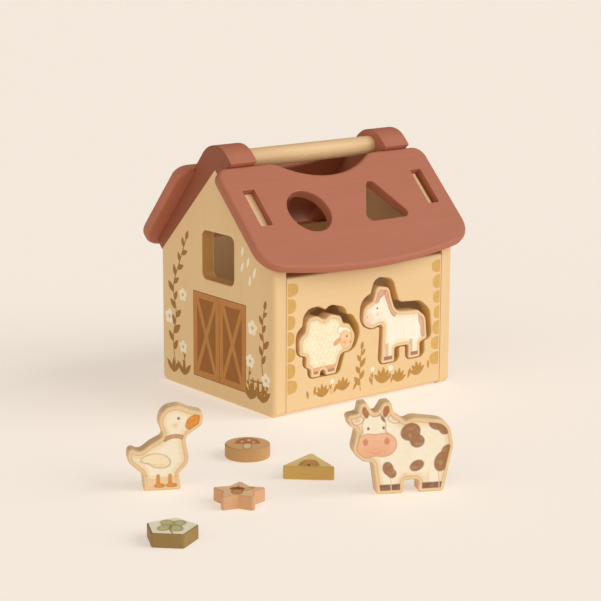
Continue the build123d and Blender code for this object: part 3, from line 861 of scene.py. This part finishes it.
def printed_face(name, node, body, toward, left_end, foot, draw, ground, mirrored=False, zoom=(1, 1)):
    """Thin printed face over a node's broad flat face, whose colours a drawing function lays on."""
    pieces = bpy.context.scene.barn_pieces
    place, outline = face_place(node, toward, left_end, foot, mirrored)
    points, faces = net_within(outline, pieces.step / MM)
    flip = (-1 if mirrored else 1, 1)
    art = Picture(points * flip, np.array(outline) * flip, ground, zoom)
    draw(art)
    bm = bmesh.new()
    top = [bm.verts.new((x * MM, y * MM, pieces.lift)) for x, y in points]
    for face in faces:
        bm.faces.new([top[i] for i in face])
    bm.normal_update()
    rim_edges = [e for e in bm.edges if e.is_boundary]
    for vert in bmesh.ops.extrude_edge_only(bm, edges=rim_edges)["geom"]:
        if isinstance(vert, bmesh.types.BMVert):
            vert.co.z = -pieces.lift
    bmesh.ops.contextual_create(bm, geom=[e for e in bm.edges if e.is_boundary])
    bmesh.ops.recalc_face_normals(bm, faces=bm.faces)
    mesh = mesh_from(bm, name)
    layer = mesh.color_attributes.new(name="print", type="FLOAT_COLOR", domain="POINT")
    shades = np.ones((len(mesh.vertices), 4), np.float32)
    shades[:len(points), :3] = art.colour
    shades[len(points):, :3] = tint(ground)
    layer.data.foreach_set("color", shades.ravel())
    keep_piece(name, mesh, [bpy.data.materials["picture_print"]], place, body, node)


def draw_up(node):
    """Direction in which a block's motif stands up."""
    turn = radians(BLOCKS[node][1])
    return (-sin(turn), cos(turn), 0)


CREAM, WARM, WOOD = (252, 243, 222), (232, 196, 140), (240, 210, 166)
BROWN, DARK, PINK = (160, 108, 64), (118, 72, 44), (243, 190, 155)


# Ovals of the cow's patches: middle, half width, half height and turn
COW_PATCHES = [
    [(-1, 45, 7, 6, 20), (4, 38, 5, 4.5)], [(22, 22, 5, 7, -15), (27, 29, 5, 5)],
    [(19, 50, 6.5, 4.5, -10), (24, 46, 4, 4)], [(4, 20, 5, 3.6, 25)],
    [(-17, 19, 3.6, 4.6, 15), (-14, 15, 3, 3)],
]


def draw_cow(art):
    """Cow with brown patches, a pale pink muzzle, short horns and brown hooves."""
    art.coat(CREAM, WARM)
    for patch in COW_PATCHES:
        art.mark(BROWN, art.ovals(*patch), opacity=0.95, rim=(142, 92, 52, 0.4))
    for x in (-4.9, 12.0):
        art.wash(WARM, 0.4 * np.exp(-(art.line([(x, 2), (x, 14)], 0) / 1.2) ** 2) * (art.body < 0))
    head = art.ovals((-27.5, 51, 8.5, 9), (-27, 40, 12, 8), blend=3)
    art.mark(CREAM, head, rim=(190, 138, 84, 0.35))
    art.mark(BROWN, np.maximum(head, art.oval(-19.3, 57, 3.4, 4.4, 25)), opacity=0.95)
    muzzle = art.ovals((-31.5, 36.5, 9.5, 8.5), (-20.5, 36.5, 9.5, 8.5), blend=3)
    art.mark(PINK, muzzle, soft=0.6, rim=(205, 142, 96, 0.4))
    art.wash((238, 168, 128), 0.5 * np.exp(-(art.oval(-26, 31.5, 12, 5) + 3.0) ** 2 / 9.0) * (muzzle < 0))
    for x in (-33.5, -18.0):
        art.fill((216, 145, 104), art.oval(x, 39, 1.9, 2.5), soft=0.6)
    for x in (-31.5, -20.5):
        art.eye(x, 49.0)
    art.arc((205, 142, 96), (-30, 32), (-22, 32), -1.4, 0.35, soft=0.3)
    for x, lean in ((-33.8, 14), (-18.7, -14)):
        art.mark((183, 118, 72), art.oval(x, 61.5, 2.0, 4.6, lean), rim=(150, 92, 54, 0.3))
    for x, lean in ((-39.8, 14), (-12.6, -14)):
        art.mark(CREAM, art.oval(x, 55, 4.8, 2.9, lean), rim=(190, 138, 84, 0.35))
        art.mark(PINK, art.oval(x, 55, 2.9, 1.5, lean), opacity=0.8, soft=0.9)
    art.mark(DARK, art.ovals((-28, 59.5, 2, 1.9), (-25, 59.5, 2, 1.9), blend=1), opacity=0.9)
    art.mark(DARK, art.y - 7.2, opacity=0.92, soft=0.4)
    for x in (-14.5, 20.5):
        art.mark(CREAM, art.line([(x, 2), (x, 7.4)], 0.5), soft=0.4)
        art.mark((196, 146, 92), art.line([(x, 7.4), (x - 1, 17)], 0.4), opacity=0.8, soft=0.5)
    art.fill((182, 128, 78), art.line([(30.5, 36), (29.5, 20), (28.2, 13)], 1.0), opacity=0.5, soft=0.4)


def draw_duck(art):
    """Cream duck with an orange bill, a plain neckband, a folded wing and short orange legs."""
    art.coat(CREAM, (240, 208, 140))
    art.mark(WOOD, art.y - 9.5, soft=0.4)
    for x in (-3.5, 5.0):
        leg = art.line([(x, 11), (x, 4.5)], 2.0)
        web = art.merged(art.oval(x + 1.0, 3.7, 3.3, 1.3), leg, blend=0.8)
        art.fill((226, 150, 62), np.maximum(web, 2.0 - art.y), rim=(176, 104, 40, 0.3))
    art.arc((196, 142, 78), (-14, 12), (12.5, 10.5), -1.2, 0.35, opacity=0.7, soft=0.4)
    bill = art.ovals((23.0, 50.5, 5.8, 3.7, 20), (19.8, 46.8, 3.2, 2.6), blend=1.2)
    art.mark((232, 150, 54), bill, rim=(184, 104, 36, 0.4))
    art.arc((184, 104, 36), (18.6, 48.3), (26.5, 51), 0.8, 0.35, soft=0.3, opacity=0.7)
    art.eye(11.5, 52.5)
    art.blush((242, 178, 140), 0.6, 9, 47.5, 2.4, 2.0)
    neckband = art.line(bowed((1.6, 37.5), (17.5, 36.5), 2.6), 2.6)
    art.mark((206, 158, 112), neckband, rim=(164, 112, 70, 0.35))
    wing = art.ovals((-3, 22, 8.5, 5.2, -14), (-11, 23.5, 4.5, 2.6, 12), blend=2)
    art.fill((250, 232, 192), wing, opacity=0.8, rim=(190, 136, 78, 0.4))
    for i in range(3):
        feather = art.line(bowed((-12 + 1.5 * i, 21.5 - 1.7 * i), (1 + 1.2 * i, 19.5 - 1.4 * i), -1.2), 0.3)
        art.fill((196, 142, 84), np.maximum(feather, wing), opacity=0.7, soft=0.4)
    art.arc((196, 142, 84), (-22, 27), (-15.5, 25.5), -1.0, 0.3, opacity=0.6, soft=0.4)


CURL_ROWS, CURL_COLUMNS = 11, 13


def draw_sheep(art):
    """Sheep with a fleece of small curls and a peach face that looks to the right."""
    art.coat((252, 245, 216), (232, 214, 160))
    noise.seed_set(prints().seed)
    for row in range(CURL_ROWS):
        for column in range(CURL_COLUMNS):
            x = -28 + 4.7 * column + 2.3 * (row % 2)
            y = 8 + 4.1 * row
            shift = noise.noise_vector(Vector((x, y, 0.5)))
            size = 2.1 + 0.9 * shift.z
            curl = np.abs(art.oval(x + 2.2 * shift.x, y + 1.8 * shift.y, size, size)) - 0.2
            low = np.maximum(curl, art.y - y - 1.8 * shift.y - 0.5)
            art.mark((216, 190, 128), low, opacity=0.42, soft=1.2)
    art.mark((228, 168, 124), art.y - 8.3, opacity=0.9)
    art.mark(DARK, art.y - 5.0, opacity=0.6, soft=0.5)
    face = art.ovals((18.5, 28, 6.2, 7.2, 8), (20.5, 22.8, 4.6, 4.4), blend=2)
    art.mark((247, 207, 162), face, soft=0.9, rim=(222, 166, 116, 0.5))
    art.blush((242, 160, 108), 0.7, 17.2, 25.2, 2.4, 2.0)
    art.fill((238, 172, 122), art.oval(9.5, 26.5, 3.6, 1.8, 30), soft=0.8, rim=(214, 148, 98, 0.5))
    topknot = art.ovals((13, 36, 3.4, 2.8), (18, 37.5, 3.4, 2.8), (22.5, 35, 2.8, 2.5), blend=1)
    art.mark((254, 248, 226), topknot, soft=0.9, rim=(226, 196, 138, 0.5))
    art.eye(19.8, 29.8, 0.8)
    art.fill((196, 128, 86), art.oval(23.4, 24.6, 0.8, 0.6), soft=0.4)


def draw_horse(art):
    """Pale foal with a russet mane and tail, a pink muzzle and brown hooves."""
    art.coat((252, 245, 230), (238, 212, 168))
    for left, right in ((-10.5, -6.8), (16.0, 19.6)):
        far_leg = np.maximum(np.maximum(left - art.x, art.x - right), art.y - 17)
        art.mark((222, 170, 116), far_leg, opacity=0.75, soft=1.0)
    art.mark((140, 84, 64), art.y - 5.8, opacity=0.85, soft=0.4)
    mane = art.ovals((-8.5, 57, 2.8, 5.5, 20), (-5.6, 50, 2.6, 5.2, 14), (-2.4, 43.5, 2.6, 4.6, 30))
    fringe = art.ovals((-15.5, 60.5, 4.6, 2.8, 25), (-20, 56, 3.0, 2.6, 50), blend=1)
    tail = art.ovals((29.5, 33, 3.4, 6.5, 10), (31.5, 24, 3.0, 6.5, -4))
    strands = [
        (mane, [(-12, 60), (-7.5, 53), (-5.5, 44), (-1.5, 40)]), (mane, [(-9.5, 60), (-5.2, 53), (-3.2, 46)]),
        (fringe, [(-11, 62.5), (-16, 60.5), (-20.5, 55)]), (fringe, [(-12, 60.5), (-16, 58.5), (-19, 54.5)]),
        (tail, [(28.5, 38), (30.5, 30), (30.5, 19)]), (tail, [(30.8, 36), (32.4, 28), (32.4, 20)]),
    ]
    for hair in (mane, fringe, tail):
        art.mark((220, 166, 132), hair, opacity=0.85, rim=(188, 120, 86, 0.4))
    for hair, path in strands:
        art.mark((188, 120, 86), np.maximum(art.line(path, 0.4), hair), opacity=0.7, soft=0.5)
    art.mark((247, 206, 180), art.oval(-28.2, 41.2, 5.4, 4.6, -25), opacity=0.6, soft=3.0)
    art.fill((206, 150, 118), art.oval(-30.4, 42.4, 0.55, 0.8), soft=0.5)
    art.arc((214, 160, 124), (-31, 38.4), (-26.6, 37.8), -0.6, 0.3, opacity=0.7, soft=0.5)
    art.eye(-19.8, 48.6, 0.85)
    art.blush((244, 180, 148), 0.5, -19.5, 43.6, 2.2, 1.8)
    jaw = art.line(bowed((-23.5, 36.5), (-14.5, 45), -2.0), 0.3)
    art.fill((214, 170, 120), jaw, opacity=0.6, soft=0.5)


def draw_mushroom(art):
    """Round block: a small mushroom."""
    art.fill((242, 214, 170), art.oval(0, -4.2, 2.6, 4.6), rim=(170, 118, 72, 0.4))
    cap = np.maximum(art.oval(0, 0, 7.2, 7.4), -art.y - 0.4)
    art.fill((186, 124, 80), cap, rim=(150, 96, 58, 0.4))
    for x, y, r in ((-3.2, 2.6, 1.0), (0.8, 4.6, 1.2), (3.6, 1.8, 0.9)):
        art.fill((244, 220, 178), art.oval(x, y, r, r), soft=0.4)


def draw_beehive(art):
    """Triangular block: a small striped beehive."""
    hive = art.ovals((0, -4.4, 5.6, 2.2), (0, -1.4, 4.8, 2.2), (0, 1.4, 3.4, 1.9), blend=1)
    art.fill((214, 162, 82), hive, rim=(168, 116, 50, 0.4))
    for level in (-2.9, 0.1):
        ring = art.line([(-5, level), (5, level)], 0.45)
        art.fill((168, 116, 50), np.maximum(ring, hive), opacity=0.8, soft=0.4)
    art.fill((128, 82, 36), art.oval(0, -4.6, 1.1, 1.3), soft=0.4)


def draw_acorn(art):
    """Star block: an acorn with a leaf."""
    art.fill((206, 150, 86), art.oval(-1, -2.2, 3.4, 4.4), rim=(150, 98, 50, 0.4))
    cup = np.maximum(art.oval(-1, 1.2, 4.3, 3.0), 0.6 - art.y)
    art.fill((142, 92, 48), cup, rim=(112, 70, 34, 0.35))
    art.fill((112, 70, 34), art.line([(-1, 3.8), (-0.4, 5.8)], 0.7), soft=0.4)
    leaf = art.oval(5.4, 1.4, 3.6, 1.6, 35)
    art.fill((228, 190, 122), leaf, rim=(160, 110, 62, 0.35))


def draw_clover(art):
    """Five-sided block: a clover leaf."""
    for turn in (45, 135, 225, 315):
        x, y = 3.3 * cos(radians(turn)), 0.8 + 3.3 * sin(radians(turn))
        leaf = art.oval(x, y, 3.4, 2.7, turn)
        art.fill((198, 190, 134), leaf, opacity=0.9, rim=(148, 140, 84, 0.45))
    art.arc((148, 140, 84), (0, 0.5), (2.2, -7.2), -0.8, 0.7, soft=0.4)


# Operators


# Body, turn in degrees, paint, motif, paint of the top, and the motif's stretch across and up. The tops of
# the round, triangular and star blocks take a lighter copy of their side paint, which is painted light on the
# lit tops; the five-sided block's cream top is its own paint.
BLOCKS = {
    "round_block": ("round", -38, (204, 158, 104), draw_mushroom, (226, 182, 132), (1.25, 1.7)),
    "triangle_block": ("triangle", -42, (212, 172, 94), draw_beehive, (248, 220, 152), (1.25, 1.6)),
    "star_block": ("star", -39, (222, 170, 128), draw_acorn, (244, 200, 160), (1.15, 1.45)),
    "pentagon_block": ("pentagon", -44, (154, 124, 70), draw_clover, (255, 250, 224), (1.5, 1.9)),
}


class BARN_OT_finish_boards(Operator):
    """Paints the gables, the flap, the walls and the floor"""

    bl_idname = "barn.finish_boards"
    bl_label = "Finish boards"

    def execute(self, context):
        shades = colours()
        gable = gable_material("gable_paint", shades.wall, shades.beech, shades.reveal)
        wear(gable, "left_gable", "right_gable")
        wear(wall_material("wall_paint", shades.wall, shades.cut), "front_flap", "back_wall")
        wear(bare_wood("inner_beech", deeper(shades.beech, 0.93)),
             "floor_board", "left_catch_block", "right_catch_block", "floor_dowels", "back_wall_dowels")
        return {"FINISHED"}


class BARN_OT_finish_roof(Operator):
    """Paints the two roof panels and the ridge brackets"""

    bl_idname = "barn.finish_roof"
    bl_label = "Finish roof"

    def execute(self, context):
        paint = colours().roof
        wear(painted_wood("roof_paint", paint, unevenness=0.3, bump=0.16), "front_roof", "back_roof")
        wear(bracket_material("bracket_paint", paint), "left_ridge_bracket", "right_ridge_bracket")
        return {"FINISHED"}


class BARN_OT_finish_fittings(Operator):
    """Finishes the handle, the hinge pins and the catch's magnets"""

    bl_idname = "barn.finish_fittings"
    bl_label = "Finish handle and fittings"

    def execute(self, context):
        wear(bare_wood("handle_beech", colours().beech), "carry_handle")
        wear(metal("pin_steel", (0.52, 0.5, 0.48), 0.3), "flap_pins")
        wear(metal("magnet_nickel", (0.62, 0.6, 0.57), 0.18), "catch_magnets", "flap_magnets")
        return {"FINISHED"}


class BARN_OT_finish_pieces(Operator):
    """Gives the animals bare wood and the blocks their paint"""

    bl_idname = "barn.finish_pieces"
    bl_label = "Finish loose pieces"

    def execute(self, context):
        wood = bare_wood("piece_wood", colours().piece)
        wear(wood, "sheep_piece", "horse_piece", "cow_piece", "duck_piece")
        for node, (body, turn, swatch, *top) in BLOCKS.items():
            wear(painted_wood(node + "_paint", tint(swatch), unevenness=0.4, bump=0.2), node)
        return {"FINISHED"}


JOINT_LINE = 0.5 * MM


class BARN_OT_print_doors(Operator):
    """Prints a double barn door on both gables, and a loft door on the right one"""

    bl_idname = "barn.print_doors"
    bl_label = "Print doors"

    def execute(self, context):
        p, shades = prints(), colours()
        inks = [ink_material("door_frame_ink", shades.door_frame),
                ink_material("door_panel_ink", shades.door_panel),
                ink_material("door_line_ink", deeper(shades.door_panel, 0.62))]
        doors = [
            ("left_door", "left", p.door_centre, p.door_width, p.door_height, p.door_sill),
            ("right_door", "right", -p.door_centre, p.door_width, p.door_height, p.door_sill),
            ("loft_door", "right", -p.door_centre, p.loft_width, p.loft_height, p.loft_sill),
        ]
        for name, side, centre, width, height, sill in doors:
            name += "_print"
            keep_piece(name, mesh_from(self.door(centre, width, height, sill), name), inks, *WALLS[side])
        return {"FINISHED"}

    def door(self, centre, width, height, sill):
        """Panels, frame boards, braces and dark joint lines of both leaves."""
        p = prints()
        frame_ink, panel_ink, line_ink = 0, 1, 2
        half, high, line, board = width / 2, sill + height, JOINT_LINE, p.door_board
        bm = bmesh.new()
        shapes = [(rectangle(centre - half, sill, centre + half, high), 1.0, line_ink)]
        for side in (-1, 1):
            left, right = sorted((centre + side * line / 2, centre + side * (half - line)))
            foot, head = sill + line, high - line
            west, south, east, north = left + board, foot + board, right - board, head - board
            shapes += [
                (rectangle(left, foot, right, head), 1.2, panel_ink),
                (band((west, south), (east, north), p.door_brace), 1.4, frame_ink),
                (band((west, north), (east, south), p.door_brace), 1.45, frame_ink),
                (rectangle(left, foot, right, south), 1.7, frame_ink),
                (rectangle(left, north, right, head), 1.7, frame_ink),
                (rectangle(left, foot, west, head), 1.6, frame_ink),
                (rectangle(east, foot, right, head), 1.6, frame_ink),
            ]
        for outline, layers, ink in shapes:
            prism(bm, outline, -p.ink, layers * p.ink, ink)
        return bm


def leaf_values(scale, layer):
    """Pointed leaves of a sprig. Prints of a higher layer lie over the others."""
    p = prints()
    return {"Leaf length": p.leaf_length * scale, "Leaf width": p.leaf_width * scale, "Pointed": 0.9,
            "Drawn in": 0.35, "Thickness": (2 + 0.03 * layer) * p.ink, "Seed": p.seed}


def blade_values(scale, layer):
    """Narrow blades of a tuft."""
    return {**leaf_values(scale, layer), "Leaf width": prints().blade_width * scale, "Drawn in": 1.0}


def petal_values(millimetres, layer):
    """Broad round petals of a given length."""
    size = millimetres * MM
    shape = {"Leaf length": size, "Leaf width": 0.86 * size, "Pointed": 0.0, "Drawn in": 0.0}
    return {**leaf_values(1.0, layer), **shape}


def grow_fans(wall, fans):
    """Prints fans of leaves: name, points, ink, leaf, number, spread and start in degrees, and more."""
    for name, points, ink, leaves, count, spread, start, more in fans:
        values = {**leaves, "Leaves": count, "Spread": radians(spread), "Start": radians(start), **more}
        grow(f"{wall}_{name}_print", "leaf_fan", point_mesh(name, points), values, ink, *WALLS[wall])


def grow_sprigs(wall, ink, sprigs):
    """Prints leafy stems: name, paths, leaf, number, spread, and share of the stem's usual width."""
    for name, paths, leaves, count, spread, share in sprigs:
        values = {**leaves, "Leaves": count, "Spread": spread, "Stem": share * prints().stem}
        grow(f"{wall}_{name}_print", "leafy_sprig", stem_curve(name, paths), values, ink, *WALLS[wall])


def mirror_path(path, side):
    return path if side == "left" else [(-x, y) for x, y in path]


# Plants on the left gable, in millimetres to the right and up as seen from outside
TALL_SPRIG = [(-58, 16), (-64, 38), (-55, 62), (-63, 84), (-52, 106), (-42, 128)]
SHORT_SPRIG = [(65, 30), (61, 44), (66, 58), (62, 74), (66, 88)]
FLOWER_STEMS = [
    [(-45, 13), (-44, 22), (-47, 32)], [(46, 13), (44, 26), (47, 39)], [(68, 12), (70, 20), (68, 27)],
]
GABLE_FLOWERS = [(-47, 35), (-47, 80), (-67, 58), (47, 42), (68, 30), (50, 70)]
GABLE_TUFTS = [(-61, 10), (-46, 10.5), (47, 10), (63, 10.5)]
FENCE_POSTS = [(51, 12.5), (57.5, 12.5), (64, 12.5)]
RAIL_HEIGHTS, RAIL_RISE, RAIL_END, RAIL_WIDTH = (18, 26), 1, 4, 1.6
SEED_HEADS = [(36, 126), (43, 118), (51, 110), (35, 113), (46, 103)]


class BARN_OT_print_sprigs(Operator):
    """Prints leafy sprigs, tufts, flowers and small seeds on both gables"""

    bl_idname = "barn.print_sprigs"
    bl_label = "Print sprigs"

    def execute(self, context):
        leaf = ink_material("leaf_ink", colours().leaf)
        petal = ink_material("petal_ink", colours().petal, 0.15)
        heart = ink_material("flower_heart_ink", tint((226, 186, 110)))
        for side in ("left", "right"):
            tall, short = mirror_path(TALL_SPRIG, side), mirror_path(SHORT_SPRIG, side)
            stems = [mirror_path(path, side) for path in FLOWER_STEMS]
            grow_sprigs(side, leaf, [
                ("tall_sprig", [tall], leaf_values(1.0, 0), 17, 0.7, 1),
                ("short_sprig", [short], leaf_values(0.9, 1), 10, 0.65, 1),
                ("flower_stems", stems, leaf_values(0.5, 2), 4, 0.6, 1),
            ])
            plants = (GABLE_TUFTS, GABLE_FLOWERS, SEED_HEADS)
            tufts, flowers, seeds = (mirror_path(points, side) for points in plants)
            even = {"Outer size": 1.0}
            grow_fans(side, [
                ("tufts", tufts, leaf, blade_values(1.05, 3), 3, 84, 48, {"Outer size": 1.1}),
                ("petals", flowers, petal, petal_values(6.0, 20), 5, 288, 18, even),
                ("hearts", flowers, heart, petal_values(1.6, 50), 6, 300, 0, even),
                ("seeds", seeds, petal, blade_values(0.75, 4), 1, 0, 75, even),
            ])
        return {"FINISHED"}


class BARN_OT_print_fences(Operator):
    """Prints a short picket fence beside the door of both gables"""

    bl_idname = "barn.print_fences"
    bl_label = "Print fences"

    def execute(self, context):
        ink = bpy.data.materials["leaf_ink"]
        p = prints()
        picket = {"Leaf length": 22 * MM, "Leaf width": 4.4 * MM, "Pointed": 0.25, "Thickness": 2.5 * p.ink,
                  "Lean": 0.04, "Size change": 0.08, "Seed": p.seed}
        for side in ("left", "right"):
            posts = mirror_path(FENCE_POSTS, side)
            grow_fans(side, [("pickets", posts, ink, picket, 1, 0, 90, {})])
            bm = bmesh.new()
            left, right = min(x for x, y in posts) - RAIL_END, max(x for x, y in posts) + RAIL_END
            for height in RAIL_HEIGHTS:
                start, end = (left * MM, height * MM), (right * MM, (height + RAIL_RISE) * MM)
                prism(bm, band(start, end, RAIL_WIDTH * MM), -p.ink, 1.5 * p.ink)
            name = side + "_rails_print"
            keep_piece(name, mesh_from(bm, name), [ink], *WALLS[side])
        return {"FINISHED"}


STONE_INSET = 1.2 * MM


class BARN_OT_print_stones(Operator):
    """Prints a column of half-round corner stones up both edges of the front flap"""

    bl_idname = "barn.print_stones"
    bl_label = "Print corner stones"

    def execute(self, context):
        ink = ink_material("stone_ink", colours().stone)
        p = prints()
        place, body, slot = WALLS["front"]
        foot = FLAP_LOW.z + p.stone_foot
        height = (p.stone_count - 1) * p.stone_pitch
        for number, (side, turn) in enumerate((("left", 0), ("right", pi))):
            edge = FLAP_LOW.x + STONE_INSET if side == "left" else FLAP_HIGH.x - STONE_INSET
            rise = foot if side == "left" else foot + height
            where = place @ Matrix.Translation((edge, rise, 0)) @ Matrix.Rotation(turn, 4, "Z")
            values = {"Stones": p.stone_count, "Pitch": p.stone_pitch, "Width": p.stone_width,
                      "Waist": p.waist, "Thickness": 2 * p.ink, "Seed": p.seed + 3 * number}
            name = f"front_stones_{side}_print"
            grow(name, "stone_column", bpy.data.meshes.new(name), values, ink, where, body, slot)
        return {"FINISHED"}


# Plants along the foot of the front flap
FLAP_TUFTS = [(-45, 10.5), (-24, 12.5), (18, 11.5), (36, 10), (58, 12.5)]
FLAP_BLADES = [(-60, 11), (-54, 13), (-34, 12), (-13, 11), (8, 12), (28, 11), (47, 11), (70, 16)]
FLAP_SPRIGS = [[(-5, 9), (-7, 24), (-4, 44)]]
FLAP_FLOWERS = [(-35, 22), (8, 25), (28, 23)]
FLAP_FLOWER_STEMS = [
    [(-36, 11), (-37, 16), (-35, 21)], [(7, 12), (9, 18), (8, 24)], [(29, 10), (27, 16), (28, 22)],
]
# Garland over the cut-outs of the back wall
GARLANDS = [[(-60, 100), (-42, 106), (-22, 101), (0, 107)], [(60, 100), (42, 106), (22, 101), (0, 107)]]
GARLAND_FLOWERS = [(-52, 108), (-30, 110), (-12, 99), (12, 99), (30, 110), (52, 108)]


class BARN_OT_print_meadow(Operator):
    """Prints a low meadow along the foot of the front flap and a garland on the back wall"""

    bl_idname = "barn.print_meadow"
    bl_label = "Print meadow"

    def execute(self, context):
        ink = ink_material("meadow_ink", colours().meadow)
        petal = bpy.data.materials["petal_ink"]
        shape = {"Outer size": 0.85, "Size change": 0.15}
        upright, leaning, blown = ({**shape, "Lean": lean} for lean in (0.18, 0.2, 0.6))
        grow_fans("front", [
            ("tufts", FLAP_TUFTS, ink, blade_values(0.95, 2), 5, 104, 38, upright),
            ("blades", FLAP_BLADES, ink, blade_values(0.75, 3), 1, 0, 84, blown),
            ("petals", FLAP_FLOWERS, petal, petal_values(2.6, 20), 5, 288, 18, leaning),
        ])
        grow_fans("back", [("petals", GARLAND_FLOWERS, petal, petal_values(3.4, 20), 5, 288, 18, leaning)])
        grow_sprigs("front", ink, [
            ("sprigs", FLAP_SPRIGS, leaf_values(0.85, 0), 8, 0.6, 0.8),
            ("stems", FLAP_FLOWER_STEMS, leaf_values(0.4, 1), 3, 0.6, 0.6),
        ])
        grow_sprigs("back", ink, [("garland", GARLANDS, leaf_values(0.75, 0), 11, 0.7, 0.8)])
        return {"FINISHED"}


# Node, body, left end of the outline in millimetres, drawing, and whether its back is printed too
ANIMALS = [
    ("cow_piece", "cow", -46.5, draw_cow, True),
    ("duck_piece", "duck", -25.0, draw_duck, True),
    ("sheep_piece", "sheep", -29.5, draw_sheep, False),
    ("horse_piece", "horse", -35.0, draw_horse, False),
]
# Width of the rounded edge beside an animal's flat face, in millimetres
SOFT_EDGE = 1.1


class BARN_OT_paint_animals(Operator):
    """Prints the sheep, the horse, the cow and the duck"""

    bl_idname = "barn.paint_animals"
    bl_label = "Paint animals"

    def execute(self, context):
        for node, body, left, draw, both in ANIMALS:
            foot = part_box(node)[0].z
            left += SOFT_EDGE
            printed_face(body + "_front_print", node, body, Vector((0, -1, 0)), left, foot, draw, WOOD)
            if both:
                name = body + "_back_print"
                printed_face(name, node, body, Vector((0, 1, 0)), left, foot, draw, WOOD, True)
        return {"FINISHED"}


class BARN_OT_paint_blocks(Operator):
    """Prints a small motif on top of each block"""

    bl_idname = "barn.paint_blocks"
    bl_label = "Paint blocks"

    def execute(self, context):
        for node, (body, turn, swatch, draw, ground, zoom) in BLOCKS.items():
            # Ground of each top: for the round, triangular and star blocks a lighter copy of the side paint,
            # as painted light
            printed_face(body + "_top_print", node, body, UP, 0, 0, draw, ground, zoom=zoom)
        return {"FINISHED"}


# Stage: metres, and the width of the camera's picture plane in millimetres
FLOOR_REACH, LAMP_DISTANCE, FAR_END, SENSOR_WIDTH = 12.0, 2, 100, 36


class BARN_OT_set_stage(Operator):
    """Makes the floor, the lights and the camera"""

    bl_idname = "barn.set_stage"
    bl_label = "Set stage"

    def execute(self, context):
        stage = context.scene.barn_stage
        self.floor(stage)
        self.lights(stage)
        self.camera(stage)
        context.scene.view_settings.view_transform = "Standard"
        return {"FINISHED"}

    def floor(self, stage):
        bm = bmesh.new()
        corners = rectangle(-FLOOR_REACH, -FLOOR_REACH, FLOOR_REACH, FLOOR_REACH)
        bm.faces.new([bm.verts.new((x, y, 0)) for x, y in corners])
        floor = linked("floor", mesh_from(bm, "floor"))
        material, tree, shader = finish_material("floor_paper")
        cloud = Number(tree, speckle(tree, object_place(tree), 2.0, 2.0))
        paper = tuple(shade * stage.paper for shade in stage.floor)
        base = blend(tree, cloud * 0.05, paper, deeper(paper, 0.9))
        feed(tree, shader, {"Base Color": base, "Roughness": 0.9,
                            "Emission Color": stage.floor, "Emission Strength": stage.glow})
        floor.data.materials.append(material)

    def lights(self, stage):
        world = bpy.data.worlds.new("studio")
        world.use_nodes = True
        tree = world.node_tree
        feed(tree, tree.nodes["Background"], {"Color": stage.floor, "Strength": stage.fill})
        bpy.context.scene.world = world
        lamps = [
            ("key", stage.key, stage.softness, (0.8, -1.0, 0.75), (1.0, 0.98, 0.95)),
            ("side", stage.side, radians(80), (-1.0, -0.5, 0.55), (1.0, 0.92, 0.74)),
        ]
        for name, energy, width, toward, shade in lamps:
            lamp = bpy.data.lights.new(name, "SUN")
            lamp.angle = width
            lamp.energy = energy
            lamp.color = shade
            holder = linked(name, lamp)
            holder.location = LAMP_DISTANCE * Vector(toward)
            holder.rotation_euler = Vector(toward).to_track_quat("Z", "Y").to_euler()

    def camera(self, stage):
        lens = bpy.data.cameras.new("camera")
        lens.sensor_width = SENSOR_WIDTH
        lens.lens = stage.lens
        lens.clip_end = FAR_END
        level = cos(stage.pitch)
        forward = Vector((sin(stage.yaw) * level, cos(stage.yaw) * level, -sin(stage.pitch)))
        right = Vector((cos(stage.yaw), -sin(stage.yaw), 0))
        above = right.cross(forward)
        tilted_right = right * cos(stage.roll) + above * sin(stage.roll)
        tilted_above = above * cos(stage.roll) - right * sin(stage.roll)
        turn = Matrix((tilted_right, tilted_above, -forward)).transposed().to_4x4()
        camera = linked("camera", lens)
        camera.matrix_world = Matrix.Translation(stage.camera) @ turn
        bpy.context.scene.camera = camera


OPERATORS = [
    BARN_OT_finish_boards, BARN_OT_finish_roof, BARN_OT_finish_fittings, BARN_OT_finish_pieces,
    BARN_OT_print_doors, BARN_OT_print_sprigs, BARN_OT_print_fences, BARN_OT_print_stones,
    BARN_OT_print_meadow, BARN_OT_paint_animals, BARN_OT_paint_blocks, BARN_OT_set_stage,
]
GROUPS = {
    "barn_colours": BarnColours, "barn_print": BarnPrint, "barn_pieces": BarnPieces, "barn_stage": BarnStage,
}


class BARN_PT_finish(Panel):
    """Steps that finish the barn"""

    bl_idname = "BARN_PT_finish"
    bl_label = "Barn puzzle"
    bl_space_type = "VIEW_3D"
    bl_region_type = "UI"
    bl_category = "Barn"

    def draw(self, context):
        for operator in OPERATORS:
            self.layout.operator(operator.bl_idname)


CLASSES = [*GROUPS.values(), *OPERATORS, BARN_PT_finish]


def register():
    for group in CLASSES:
        bpy.utils.register_class(group)
    for name, group in GROUPS.items():
        setattr(bpy.types.Scene, name, PointerProperty(type=group))


def unregister():
    for name in GROUPS:
        delattr(bpy.types.Scene, name)
    for group in reversed(CLASSES):
        bpy.utils.unregister_class(group)


def main():
    register()
    wood_fibres_group()
    brushed_paint_group()
    picture_material()
    leafy_sprig_tree()
    leaf_fan_tree()
    stone_column_tree()
    for operator in OPERATORS:
        group, step = operator.bl_idname.split(".")
        getattr(getattr(bpy.ops, group), step)()


if __name__ == "__main__":
    main()
